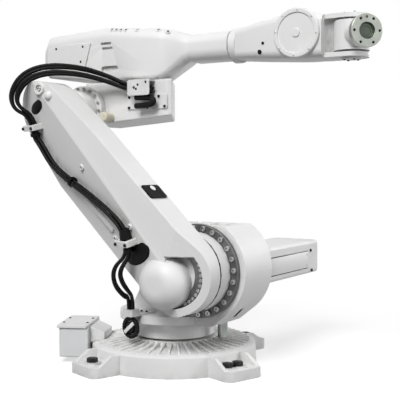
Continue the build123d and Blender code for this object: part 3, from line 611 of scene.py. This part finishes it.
# Dark sheet under the panel that paints the shaded gap round it: extra width, thickness, edge
SHADE_SHEET_EXTRA = 0.007
SHADE_SHEET_RISE = 0.0012
SHADE_SHEET_EDGE = 0.0005
PANEL_SCREW = (0.0042, 0.002)
PANEL_SCREW_REACH = (0.154, 0.021)
MOTOR_SCREW = (0.006, 0.004)
MOTOR_SCREW_SPOTS = [(0.316, 0.460, 0.366), (0.316, 0.470, 0.290)]
MOTOR_END_SCREW = (0.005, 0.004)
MOTOR_END_X = 0.221
MOTOR_END_Y = 0.535
MOTOR_END_REACH = (0.07, 0.04)
STOP_BLOCK = (0.040, 0.036, 0.022, 0.004)
STOP_BLOCK_SPOT = (0.022, -0.115, 0.252)
STOP_BOLT = (0.006, 0.008)
STOP_BOLT_SPOTS = [(0.012, -0.132, 0.246), (0.032, -0.132, 0.246)]
FRAME_SLOT_SHADE = (0.015, 0.056, 0.001, 0.0004)
FRAME_SLOT_SPOT = (0.255, -0.02, 0.215)
FRAME_SLOT_TURN = 0.4
ANCHOR_SCREW = (0.0045, 0.004)
ANCHOR_SCREW_SPOTS = [(-0.012, -0.15, 0.20), (-0.034, -0.15, 0.20)]
# Ring that paints the shade of the gap by the gearbox: outer radius, bore, width, place
GAP_SHADE_R = 0.1328
GAP_SHADE_BORE = 0.110
GAP_SHADE_WIDTH = 0.0058
GAP_SHADE_Y = -0.193


def gearbox_bolts():
    """Bolts round the dark gearbox ring."""
    centre = (SHOULDER.x, RING_NEAR_Y, SHOULDER.z)
    places = side_circle(centre, GEARBOX_BOLT_R, even(GEARBOX_BOLT_COUNT, GEARBOX_BOLT_DEG))
    repeated("gearbox_bolts", socket_screw(*GEARBOX_BOLT), places, STEEL, "turret")


def spin_motor_bolts():
    """Bolts on top of the motor that turns the turret."""
    spots = [(SPIN_MOTOR_X + SPIN_MOTOR_BOLT_R * math.cos(a), SPIN_MOTOR_Y + SPIN_MOTOR_BOLT_R * math.sin(a),
              SPIN_MOTOR_TOP) for a in even(4, 45)]
    places = seated("axis1_motor_cover", spots)
    repeated("spin_motor_bolts", socket_screw(*SPIN_MOTOR_BOLT), places, SCREW, "turret")


def motor_panel():
    """Long panel on the shoulder motor's cover, on a dark sheet that paints the shaded gap round it."""
    place = [facing(PANEL, FRONT)]
    # Painted shade: a dark sheet just wider than the panel shows as a shaded gap round it
    shade_sheet = slab(PANEL_LEN + SHADE_SHEET_EXTRA, PANEL_H + SHADE_SHEET_EXTRA, SHADE_SHEET_RISE, SHADE_SHEET_EDGE)
    repeated("panel_shade_sheet", shade_sheet, place, SCREW, "turret")
    repeated("motor_panel", slab(PANEL_LEN, PANEL_H, PANEL_RISE, PANEL_EDGE), place, WHITE, "turret")
    corners = [PANEL + Vector((PANEL_RISE, a, b)) for a, b in four_corners(*PANEL_SCREW_REACH)]
    repeated("panel_screws", dome_plug(*PANEL_SCREW), all_facing(corners, FRONT), STEEL, "turret")


def motor_cover_screws():
    """Screws beside the panel and on the far end of the shoulder motor's cover."""
    beside = all_facing(MOTOR_SCREW_SPOTS, FRONT)
    repeated("motor_screws", socket_screw(*MOTOR_SCREW), beside, SCREW, "turret")
    ends = [(MOTOR_END_X + a, MOTOR_END_Y, SHOULDER.z + b) for a, b in four_corners(*MOTOR_END_REACH)]
    repeated("motor_end_screws", socket_screw(*MOTOR_END_SCREW), all_facing(ends, FAR), SCREW, "turret")


def stop_block():
    """Block on the shoulder frame, with its two bolts."""
    repeated("stop_block", slab(*STOP_BLOCK), seated("shoulder_frame", [STOP_BLOCK_SPOT]), WHITE, "turret")
    bolts = all_facing(STOP_BOLT_SPOTS, NEAR)
    repeated("stop_block_bolts", socket_screw(*STOP_BOLT), bolts, SCREW, "turret")


def frame_slot_shade():
    """Thin black sheet that paints a slot's shade low on the shoulder frame's side."""
    # Painted shade: the slot is a flat black sheet on the frame's surface
    place = seated("shoulder_frame", [FRAME_SLOT_SPOT], FRAME_SLOT_TURN)
    repeated("frame_slot_shade", slab(*FRAME_SLOT_SHADE), place, PLASTIC, "turret")


def anchor_screws():
    """Screws of the cables' lower bracket."""
    places = seated("cable_anchor", ANCHOR_SCREW_SPOTS)
    repeated("anchor_screws", socket_screw(*ANCHOR_SCREW), places, SCREW, "turret")


def shoulder_gap_shade():
    """Black rubber ring in the gap between the gearbox and the lower arm, that paints the gap's shade as a
    dark seam.
    """
    place = [facing((SHOULDER.x, GAP_SHADE_Y, SHOULDER.z), NEAR)]
    repeated("shoulder_gap_shade", sleeve(GAP_SHADE_R, GAP_SHADE_R, GAP_SHADE_BORE, GAP_SHADE_WIDTH), place, RUBBER, "turret")


gearbox_bolts()
spin_motor_bolts()
motor_panel()
motor_cover_screws()
stop_block()
frame_slot_shade()
anchor_screws()
shoulder_gap_shade()


# Lower arm: hub, bosses, caps and what holds the cables

LINTEL_REACH = 0.112
LINTEL_LOW = 0.062
LINTEL_BACK_Y = -0.259
LINTEL_FRONT_Y = ARM_NEAR_Y - 0.0005
LINTEL_START = math.radians(97)
LINTEL_STEPS = 16
LINTEL_LIP = 0.003
HUB_BOLT = (0.0056, 0.005)
HUB_BOLT_R = 0.096
HUB_BOLT_COUNT = 36
HUB_BOLT_DEG = 3
HUB_OPEN_DEG = (45, 205)
FACET_BOSS = (0.0105, 0.0045, 0.006)
FACET_SCREW = (0.0042, 0.0045)
FACET_BOSS_SPOTS = [(-0.175, -0.30, 0.680), (-0.285, -0.26, 0.635), (0.033, -0.31, 0.490),
                    (-0.060, -0.29, 0.441)]
HEAD_BOSS = (0.021, 0.013, 0.007)
HEAD_BOLT = (0.0075, 0.006)
HEAD_BOSS_SPOT = (-0.345, -0.32, 0.950)
HEAD_LUG = (0.015, 0.012)
HEAD_LUG_SPOT = (-0.305, -0.32, 0.925)
FACET_RIB = (0.170, 0.024, 0.009, 0.0085)
FACET_RIB_PLACE = (0.335, 0.095)
FACET_RIB_TURN = math.radians(-42)
PLATE_PLUG = (0.011, 0.003)
PLATE_PLUG_SPOT = (0.085, -0.25, 0.616)
CAP_RISE = 0.004
CAP_LEAN = 0.215
CAP_TILT = 0.11
CAPS = {
    "lower_cap": {"along": 0.128, "across": 0.051, "half_len": 0.0705, "half_wid": 0.033},
    "upper_cap": {"along": ARM_LEN + 0.052, "across": 0.047, "half_len": 0.041, "half_wid": 0.0212},
}
LOW_HOLD = (Vector(SHOULDER_ROUTE[-2]), Vector(ARM_ROUTE[1]))
HIGH_HOLD = (Vector(ARM_ROUTE[-2]), Vector(ELBOW_ROUTE[1]))
CLIP_RUN = (Vector(ARM_ROUTE[3]), Vector(ARM_ROUTE[5]))
BUNDLE_BORE = 0.012
GROMMET = (0.0205, 0.0165, BUNDLE_BORE, 0.032)
STRAP = (0.0172, 0.0172, BUNDLE_BORE, 0.011)
CLIP = (0.0178, 0.0178, BUNDLE_BORE, 0.009)
GROMMET_SHARE = 0.86
STRAP_SHARE = 0.16
CLAMP_SCREW = (0.0052, 0.005)
CLAMP_SCREW_REACH = 0.026
CLAMP_SCREW_OUT = 0.04


def heel_plane():
    """Point on the plane that slopes off the casting's heel, and its outward direction."""
    way = ALONG * math.cos(HEEL_SIDE) + ACROSS * math.sin(HEEL_SIDE)
    out = way * math.sin(HEEL_SLOPE) + NEAR * math.cos(HEEL_SLOPE)
    return SHOULDER + way * HEEL_START + Vector((0, LINTEL_FRONT_Y, 0)), out


def lintel():
    """Web that closes the top of the hub's recess down to a level slot over the boss."""
    end = math.asin(LINTEL_LOW / LINTEL_REACH)
    arc = [LINTEL_START + (end - LINTEL_START) * i / LINTEL_STEPS for i in range(LINTEL_STEPS + 1)]
    outline = [(LINTEL_REACH * math.cos(arc[0]), LINTEL_LOW)]
    outline += [(LINTEL_REACH * math.cos(a), LINTEL_REACH * math.sin(a)) for a in arc]
    bm = bmesh.new()
    back = [bm.verts.new((SHOULDER.x + x, LINTEL_BACK_Y, SHOULDER.z + z)) for x, z in outline]
    grown = bmesh.ops.extrude_face_region(bm, geom=[bm.faces.new(back)])
    front = [v for v in grown["geom"] if isinstance(v, bmesh.types.BMVert)]
    bmesh.ops.translate(bm, vec=(0, LINTEL_FRONT_Y - LINTEL_BACK_Y, 0), verts=front)
    brow, out = heel_plane()
    whole = bm.verts[:] + bm.edges[:] + bm.faces[:]
    bmesh.ops.bisect_plane(bm, geom=whole, plane_co=brow, plane_no=out, clear_outer=True)
    bmesh.ops.holes_fill(bm, edges=[e for e in bm.edges if e.is_boundary])
    bmesh.ops.recalc_face_normals(bm, faces=bm.faces[:])
    under = {e for f in bm.faces if f.normal.z < -0.9 for e in f.edges}
    lip = [e for e in bm.edges if e in under and any(f.normal.y < -0.5 for f in e.link_faces)]
    bmesh.ops.bevel(bm, geom=lip, offset=LINTEL_LIP, segments=1, profile=0.5, material=-1, affect="EDGES")
    return bm


def hub_bolts():
    """Bolts of the hub ring, where the casting leaves it open."""
    arm_lean = math.atan2(ALONG.z, ALONG.x)
    low, high = HUB_OPEN_DEG
    angles = [a for a in even(HUB_BOLT_COUNT, HUB_BOLT_DEG) if low < math.degrees(arm_lean - a) % 360 < high]
    places = side_circle((SHOULDER.x, HUB_RING_Y, SHOULDER.z), HUB_BOLT_R, angles)
    repeated("hub_bolts", socket_screw(*HUB_BOLT), places, STEEL, "lower_arm")


def arm_bosses():
    """Cast bosses of the rear facet and the head, with their screws, and the facet's rib."""
    facet = seated("lower_arm_casting", FACET_BOSS_SPOTS)
    repeated("facet_bosses", ring_boss(*FACET_BOSS), facet, WHITE, "lower_arm")
    repeated("facet_screws", dome_plug(*FACET_SCREW), facet, SCREW, "lower_arm")
    head = seated("lower_arm_casting", [HEAD_BOSS_SPOT])
    repeated("head_boss", ring_boss(*HEAD_BOSS), head, WHITE, "lower_arm")
    repeated("head_bolt", socket_screw(*HEAD_BOLT), head, STEEL, "lower_arm")
    lug = seated("lower_arm_casting", [HEAD_LUG_SPOT])
    repeated("head_lug", dome_plug(*HEAD_LUG), lug, WHITE, "lower_arm")
    rib = seated("lower_arm_casting", [on_facet(*FACET_RIB_PLACE)], FACET_RIB_TURN)
    repeated("facet_rib", slab(*FACET_RIB), rib, WHITE, "lower_arm")


def plate_plug():
    """White plug in the black side plate."""
    place = seated("side_plate", [PLATE_PLUG_SPOT])
    repeated("plate_plug", dome_plug(*PLATE_PLUG), place, NYLON, "lower_arm")


def oval_cap(name, along, across, half_len, half_wid):
    """Black oval cap over a pocket of the rear facet."""
    fall = ACROSS * math.cos(FACET_SLOPE) + FAR * math.sin(FACET_SLOPE)
    lean = (fall + ALONG * CAP_LEAN).normalized()
    rise = (ALONG + fall * CAP_TILT).normalized()
    columns = [lean * half_len, rise * half_wid, FACET_OUT * CAP_RISE]
    place = Matrix.Translation(on_facet(along, across)) @ Matrix(columns).transposed().to_4x4()
    made = repeated(name + "_shell", dome_plug(1, 1), [place], PLASTIC, "lower_arm")
    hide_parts(name)


def along_run(run, share):
    """Place on a straight run of the bundle, with Z along it."""
    return facing(run[0].lerp(run[1], share), run[1] - run[0])


def bundle_holders():
    """Grommet, straps and clip round the cables on the lower arm."""
    grommet = [along_run(LOW_HOLD, GROMMET_SHARE)]
    repeated("cable_grommets", sleeve(*GROMMET), grommet, RUBBER, "lower_arm")
    straps = [along_run(hold, STRAP_SHARE) for hold in (LOW_HOLD, HIGH_HOLD)]
    repeated("cable_straps", sleeve(*STRAP), straps, RUBBER, "lower_arm")
    repeated("bundle_clip", sleeve(*CLIP), [along_run(CLIP_RUN, 0.5)], PLASTIC, "lower_arm")


def clamp_screws(clamp, hold):
    """Two screws of a cable clamp, one on each side of the bundle."""
    middle = (hold[0] + hold[1]) / 2
    side = (hold[1] - hold[0]).cross(FACET_OUT).normalized()
    spots = [middle + FACET_OUT * CLAMP_SCREW_OUT + side * reach
             for reach in (-CLAMP_SCREW_REACH, CLAMP_SCREW_REACH)]
    repeated(clamp + "_screws", socket_screw(*CLAMP_SCREW), seated(clamp, spots), SCREW, "lower_arm")


repeated("hub_lintel", lintel(), [Matrix()], WHITE, "lower_arm")
hub_bolts()
arm_bosses()
plate_plug()
for name, sizes in CAPS.items():
    oval_cap(name, **sizes)
bundle_holders()
clamp_screws("lower_clamp", LOW_HOLD)
clamp_screws("upper_clamp", HIGH_HOLD)


# Upper arm: screws and bosses

COVER_SCREW = (0.0042, 0.0022)
COVER_SCREW_SPOTS = [(-0.437, -0.125, 1.113), (-0.312, -0.125, 1.113), (-0.440, -0.125, 1.060),
                     (-0.322, -0.125, 1.060)]
TOP_BOSS = (0.0085, 0.005, 0.003)
TOP_SCREW = (0.0044, 0.0016)
TOP_BOSS_ROW = [(x, -0.135, 1.20) for x in (-0.190, -0.170, -0.150, -0.128, -0.080)]
TOP_BOSS_FRONT = [(0.008, -0.13, 1.19), (0.066, -0.12, 1.18)]
ELBOW_BOLT = (0.005, 0.006)
ELBOW_BOLT_R = 0.081
ELBOW_BOLT_COUNT = 18
ELBOW_RING_Y = -0.131
BACKING_SCREW = (0.0046, 0.004)
BACKING_Y = -0.115
BACKING_SCREW_XZ = [(-0.112, 0.924), (-0.066, 0.925), (0.012, 0.924), (-0.035, 0.887), (0.036, 0.889),
                    (-0.113, 0.888)]
CABLE_BRACKET_SCREW = (0.0042, 0.002)
CABLE_BRACKET_SPOTS = [(-0.045, -0.16, 0.962), (-0.052, -0.16, 0.948), (-0.012, -0.16, 0.970)]
ELBOW_MOTOR = (-0.290, 0.245, 0.918)
ELBOW_MOTOR_BOLT = (0.0055, 0.005)
ELBOW_MOTOR_BOLT_R = 0.034


def housing_screws():
    """Screws of the rear cover, and the bosses and screws along the housing's top."""
    cover = seated("rear_cover", COVER_SCREW_SPOTS)
    repeated("rear_cover_screws", dome_plug(*COVER_SCREW), cover, SCREW, "upper_arm")
    top = seated("upper_arm_casting", TOP_BOSS_ROW + TOP_BOSS_FRONT)
    repeated("top_bosses", ring_boss(*TOP_BOSS), top, WHITE, "upper_arm")
    repeated("top_screws", dome_plug(*TOP_SCREW), top, SCREW, "upper_arm")


def elbow_screws():
    """Bolts round the elbow and screws of the plate and bracket beside it."""
    ring = side_circle((ELBOW.x, ELBOW_RING_Y, ELBOW.z), ELBOW_BOLT_R, even(ELBOW_BOLT_COUNT))
    repeated("elbow_ring_bolts", socket_screw(*ELBOW_BOLT), ring, STEEL, "upper_arm")
    plate = seated("backing_plate", [(x, BACKING_Y, z) for x, z in BACKING_SCREW_XZ])
    repeated("backing_screws", socket_screw(*BACKING_SCREW), plate, SCREW, "upper_arm")
    bracket = seated("cable_bracket", CABLE_BRACKET_SPOTS)
    repeated("bracket_screws", dome_plug(*CABLE_BRACKET_SCREW), bracket, SCREW, "upper_arm")
    motor = side_circle(ELBOW_MOTOR, ELBOW_MOTOR_BOLT_R, even(4, 45), FAR)
    repeated("elbow_motor_bolts", socket_screw(*ELBOW_MOTOR_BOLT), motor, SCREW, "upper_arm")


housing_screws()
elbow_screws()


# Wrist and flange: screws, plug, and painted shade in the threaded holes and bore

DISC_SCREW = (0.0034, 0.0018)
DISC_SCREW_DEG = -5
NEAR_DISC_SCREW_R = 0.0705
FAR_DISC_SCREW_R = 0.0525
WRIST_SCREW = (0.0046, 0.003)
WRIST_SCREW_SPOT = (0.392, -0.08, 1.078)
WRIST_PLUG = (0.0075, 0.003)
WRIST_PLUG_SPOT = (0.380, -0.08, 1.050)
FORK_SCREW = (0.0035, 0.003)
FORK_SCREW_R = 0.023
FORK_FACES = ((UP, 1.159), (DOWN, 1.017))
FLANGE_AXIS = Vector((math.cos(WRIST_BEND), -math.sin(WRIST_BEND), 0))
FLANGE_SIDE = Vector((math.sin(WRIST_BEND), math.cos(WRIST_BEND), 0))
# Dark discs that paint the shade in the flange's threaded holes: size, then their circle and depth
THREAD_SHADE_DISC = (0.0041, 0.001)
THREAD_R = 0.040
THREAD_DEPTH = 0.004
BORE_R = 0.0247
BORE_DEPTH = 0.0098
BORE_PROFILE = [(0, 0.0005), (0.0135, 0.0005), (0.0145, 0.002), (0.019, 0.002), (BORE_R, 0.0008),
                (BORE_R, 0), (0, 0)]


def wrist_screws():
    """Screws of the round covers, the collar and the fork's caps, and a rubber plug."""
    near = side_circle((COVER_X, -COVER_Y, COVER_Z), NEAR_DISC_SCREW_R, even(8, DISC_SCREW_DEG))
    repeated("wrist_cover_screws", dome_plug(*DISC_SCREW), near, STEEL, "wrist")
    far = side_circle((COVER_X, COVER_Y, COVER_Z), FAR_DISC_SCREW_R, even(8, DISC_SCREW_DEG), FAR)
    repeated("far_cover_screws", dome_plug(*DISC_SCREW), far, STEEL, "wrist")
    screw = seated("wrist_casting", [WRIST_SCREW_SPOT])
    repeated("wrist_screw", socket_screw(*WRIST_SCREW), screw, SCREW, "wrist")
    plug = seated("wrist_casting", [WRIST_PLUG_SPOT])
    repeated("wrist_plug", dome_plug(*WRIST_PLUG), plug, RUBBER, "wrist")
    caps = [facing((WRIST.x + FORK_SCREW_R * math.cos(a), FORK_SCREW_R * math.sin(a), z), way)
            for way, z in FORK_FACES for a in even(4, 45)]
    repeated("fork_screws", socket_screw(*FORK_SCREW), caps, SCREW, "wrist")


def in_flange(depth, radius, angle):
    """Place in the tool flange, at a depth from its face."""
    across = FLANGE_SIDE * math.cos(angle) + UP * math.sin(angle)
    return facing(WRIST + FLANGE_AXIS * (FLANGE_REACH - depth) + across * radius, FLANGE_AXIS)


def flange_holes():
    """Dark discs that paint the shade deep in the flange's threaded holes, and dark metal that paints it on
    the floor of its stepped bore.
    """
    thread_shade_places = [in_flange(THREAD_DEPTH, THREAD_R, a) for a in even(6)]
    repeated("flange_thread_shade", washer(*THREAD_SHADE_DISC), thread_shade_places, SCREW, "flange")
    repeated("flange_bore_shade", turned(BORE_PROFILE, 40), [in_flange(BORE_DEPTH, 0, 0)], BORE_SHADE_METAL, "flange")


wrist_screws()
flange_holes()


# Ribbed conduit under the cables' lower bracket

CONDUIT_SIDE = math.radians(262)
CONDUIT_AXIS = Vector((math.cos(CONDUIT_SIDE), math.sin(CONDUIT_SIDE), 0))
CONDUIT_CENTRE = CONDUIT_AXIS * 0.218 + UP * 0.1455
OUTER_CONDUIT = {"radius": 0.030, "tube_r": 0.0085, "ribs": 26}
INNER_CONDUIT = {"radius": 0.0118, "tube_r": 0.0095, "ribs": 14}
HOOPS_PER_RIB = 4
RIB_WAIST = 0.84
TAB = (0.054, 0.012, 0.003, 0.0008)
TAB_OUT = 0.0085
TAB_TURN = math.radians(40)


def ribbed_ring(radius, tube_r, ribs):
    """Ring of ribbed conduit round the conduit's axis."""
    bm = bmesh.new()
    place = facing(CONDUIT_CENTRE, CONDUIT_AXIS)
    steps = HOOPS_PER_RIB * ribs
    for i in range(steps):
        turn = Matrix.Rotation(2 * math.pi * i / steps, 4, "Z")
        swell = tube_r * (1.0 if i % HOOPS_PER_RIB < HOOPS_PER_RIB / 2 else RIB_WAIST)
        hoop = place @ turn @ Matrix.Translation((radius, 0, 0)) @ Matrix.Rotation(math.pi / 2, 4, "X")
        bmesh.ops.create_circle(bm, segments=12, radius=swell, matrix=hoop)
    bmesh.ops.bridge_loops(bm, edges=bm.edges[:], use_cyclic=True)
    bmesh.ops.recalc_face_normals(bm, faces=bm.faces[:])
    return bm


def coiled_conduit():
    """Two turns of conduit, one inside the other, held by a white tab."""
    outer = repeated("ribbed_conduit", ribbed_ring(**OUTER_CONDUIT), [Matrix()], RUBBER, "turret")
    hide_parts("conduit_loop")
    repeated("inner_conduit", ribbed_ring(**INNER_CONDUIT), [Matrix()], RUBBER, "turret")
    tab = facing(CONDUIT_CENTRE + CONDUIT_AXIS * TAB_OUT, CONDUIT_AXIS, TAB_TURN)
    repeated("conduit_tab", slab(*TAB), [tab], NYLON, "turret")


coiled_conduit()


# Cables, on the same routes as the part's tubes

def route_tangents(points):
    """Direction of a bundle at each point of its route."""
    runs = [(b - a).normalized() for a, b in zip(points, points[1:])]
    bends = [(a + b).normalized() for a, b in zip(runs[1:], runs[2:-1])]
    return [runs[0]] * 2 + bends + [runs[-1]] * 2


def lanes(route, fan=0.0):
    """Routes of the cables side by side in a bundle, fanned out a little between its ends."""
    points = [Vector(p) for p in route]
    tangents = route_tangents(points)
    reach = CABLE_PITCH / 2 / math.sin(math.pi / CABLE_COUNT)
    last = len(points) - 2
    made = []
    for i in range(CABLE_COUNT):
        turn = math.pi * (2 * i + 1) / CABLE_COUNT
        lane = []
        for k, (point, tangent) in enumerate(zip(points, tangents)):
            spread = reach * (1 + fan * math.sin(math.pi * min(max(k - 1, 0), last - 1) / (last - 1)))
            out = (BUNDLE_SIDE - tangent * BUNDLE_SIDE.dot(tangent)).normalized()
            lane.append(point + (out * math.cos(turn) + tangent.cross(out) * math.sin(turn)) * spread)
        made.append(lane)
    return made


def cable_curve(name, routes, radius):
    """Round smooth curve with those routes as its control points."""
    curve = bpy.data.curves.new(name + "_line", "CURVE")
    curve.dimensions = "3D"
    curve.resolution_u = 12
    curve.bevel_depth = radius
    curve.bevel_resolution = 4
    curve.use_fill_caps = True
    for route in routes:
        spline = curve.splines.new("NURBS")
        spline.points.add(len(route) - 1)
        for point, place in zip(spline.points, route):
            point.co = (*place, 1)
        spline.order_u = 3
        spline.use_endpoint_u = True
    return curve


def cable_mesh(name, routes, radius):
    """Cables of a bundle as one closed mesh."""
    line = add_object(name + "_line", cable_curve(name, routes, radius))
    bpy.context.view_layer.update()
    mesh = bpy.data.meshes.new_from_object(line.evaluated_get(bpy.context.evaluated_depsgraph_get()))
    bpy.data.objects.remove(line)
    bm = bmesh.new()
    bm.from_mesh(mesh)
    bmesh.ops.remove_doubles(bm, verts=bm.verts[:], dist=SAME_POINT)
    bmesh.ops.recalc_face_normals(bm, faces=bm.faces[:])
    bm.to_mesh(mesh)
    bm.free()
    mesh.materials.clear()
    mesh.materials.append(RUBBER)
    mesh.name = name
    shade(mesh, CABLE_EDGE_ANGLE)
    return add_object(name, mesh)


def riding_cable(name, routes, radius, node_name):
    """Cable that its body carries whole."""
    made = cable_mesh(name, routes, radius)
    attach(made, BODY[node_name])
    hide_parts(node_name)


def bending_cable(name, route, node_name):
    """Cable loop between two bodies, baked in place and carried by neither."""
    made = cable_mesh(name, lanes(route, CABLE_FAN), CABLE_R)
    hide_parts(node_name)
    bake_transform(made)


riding_cable("lower_arm_cables", lanes(ARM_ROUTE), CABLE_R, "arm_cables")
riding_cable("u_hose", [HOSE_ROUTE], HOSE_R, "connector_hose")
bending_cable("shoulder_loop", SHOULDER_ROUTE, "shoulder_cables")
bending_cable("elbow_loop", ELBOW_ROUTE, "elbow_cables")


# Floor, light and camera

FLOOR_SIZE = 60
FLOOR_FADE = (0.55, 1.5)
FLOOR_TONE = 0.5
FLOOR_GLOW = 0.62
FLOOR_BOUNCE = 0.22
FILL = 0.17
ROBOT_MIDDLE = (0.1, 0, 0.5)
LAMPS = (
    {"name": "key_lamp", "place": (1.0, -6.0, 6.2), "aim": ROBOT_MIDDLE, "size": 3.6, "power": 610},
    {"name": "top_lamp", "place": (0.4, 0.6, 9.0), "aim": ROBOT_MIDDLE, "size": 6.0, "power": 30},
    {"name": "right_lamp", "place": (6.0, 0.8, 2.0), "aim": ROBOT_MIDDLE, "size": 2.8, "power": 120},
    {"name": "back_lamp", "place": (2.6, 7.0, 1.8), "aim": (0.1, 0, 0.6), "size": 3.0, "power": 150},
)
CAMERA_TURN = math.radians(32)
CAMERA_PITCH = math.radians(2.36)
CAMERA_AWAY = 3.0
CAMERA_ASIDE = 0.0918
EYE_HEIGHT = 0.69
SENSOR_MM = 36.0
LENS_MM = 76.5
SIGHT_LIMIT = 200


def background_ray(tree):
    """One where the camera, a reflection or a clear piece looks at the background."""
    seen = node(tree, "LightPath").outputs
    plain = worked(tree, "MAXIMUM", seen["Is Camera Ray"], seen["Is Glossy Ray"])
    return worked(tree, "MAXIMUM", plain, seen["Is Transmission Ray"])


def floor_finish():
    """White that fades into the background away from the base, and keeps a soft shadow near it."""
    made = bpy.data.materials.new("studio floor")
    made.use_nodes = True
    tree = made.node_tree
    tree.nodes.remove(tree.nodes["Principled BSDF"])
    coords = node(tree, "TexCoord").outputs["Object"]
    reach = node(tree, "VectorMath", {0: coords}, operation="LENGTH").outputs["Value"]
    near = ranged(tree, reach, *FLOOR_FADE, 1.0, 0.0)
    matte = node(tree, "BsdfDiffuse", {"Color": mixed(tree, near, grey(0.0), grey(FLOOR_TONE))})
    strength = ranged(tree, near, 0.0, 1.0, 1.0, FLOOR_GLOW)
    glow = node(tree, "Emission", {"Color": grey(1.0), "Strength": strength})
    lit = node(tree, "AddShader", {0: matte.outputs[0], 1: glow.outputs[0]})
    plain = node(tree, "BsdfDiffuse", {"Color": grey(FLOOR_BOUNCE)})
    choice = node(tree, "MixShader", {0: background_ray(tree), 1: plain.outputs[0], 2: lit.outputs[0]})
    tree.links.new(choice.outputs[0], tree.nodes["Material Output"].inputs["Surface"])
    return made


def pale_floor():
    """Wide flat floor."""
    bm = bmesh.new()
    bmesh.ops.create_grid(bm, x_segments=1, y_segments=1, size=FLOOR_SIZE)
    mesh = bpy.data.meshes.new("studio_floor")
    bm.to_mesh(mesh)
    bm.free()
    mesh.materials.append(floor_finish())
    add_object("studio_floor", mesh)


def studio_world():
    """White surround that lights the robot softly from all sides."""
    world = bpy.data.worlds.new("studio")
    scene.world = world
    world.use_nodes = True
    tree = world.node_tree
    back = tree.nodes["Background"]
    back.inputs["Color"].default_value = grey(1.0)
    tree.links.new(ranged(tree, background_ray(tree), 0.0, 1.0, FILL, 1.0), back.inputs["Strength"])


def softbox(name, place, aim, size, power):
    """Square studio lamp."""
    lamp = bpy.data.lights.new(name, "AREA")
    lamp.size = size
    lamp.energy = power
    made = add_object(name, lamp)
    made.location = place
    made.rotation_euler = (Vector(aim) - Vector(place)).to_track_quat("-Z", "Y").to_euler()


def photo_camera():
    """Camera at the photograph's angle: level with the robot's middle, well off to its front."""
    right = Vector((math.cos(CAMERA_TURN), math.sin(CAMERA_TURN), 0))
    ahead = Vector((-math.sin(CAMERA_TURN), math.cos(CAMERA_TURN), 0))
    lens = bpy.data.cameras.new("photo camera")
    lens.sensor_width = SENSOR_MM
    lens.lens = LENS_MM
    lens.clip_end = SIGHT_LIMIT
    made = add_object("photo_camera", lens)
    made.location = UP * EYE_HEIGHT - ahead * CAMERA_AWAY + right * CAMERA_ASIDE
    look = ahead * math.cos(CAMERA_PITCH) + DOWN * math.sin(CAMERA_PITCH)
    made.rotation_euler = look.to_track_quat("-Z", "Y").to_euler()
    scene.camera = made


pale_floor()
studio_world()
for lamp in LAMPS:
    softbox(**lamp)
photo_camera()
scene.view_settings.view_transform = "Standard"
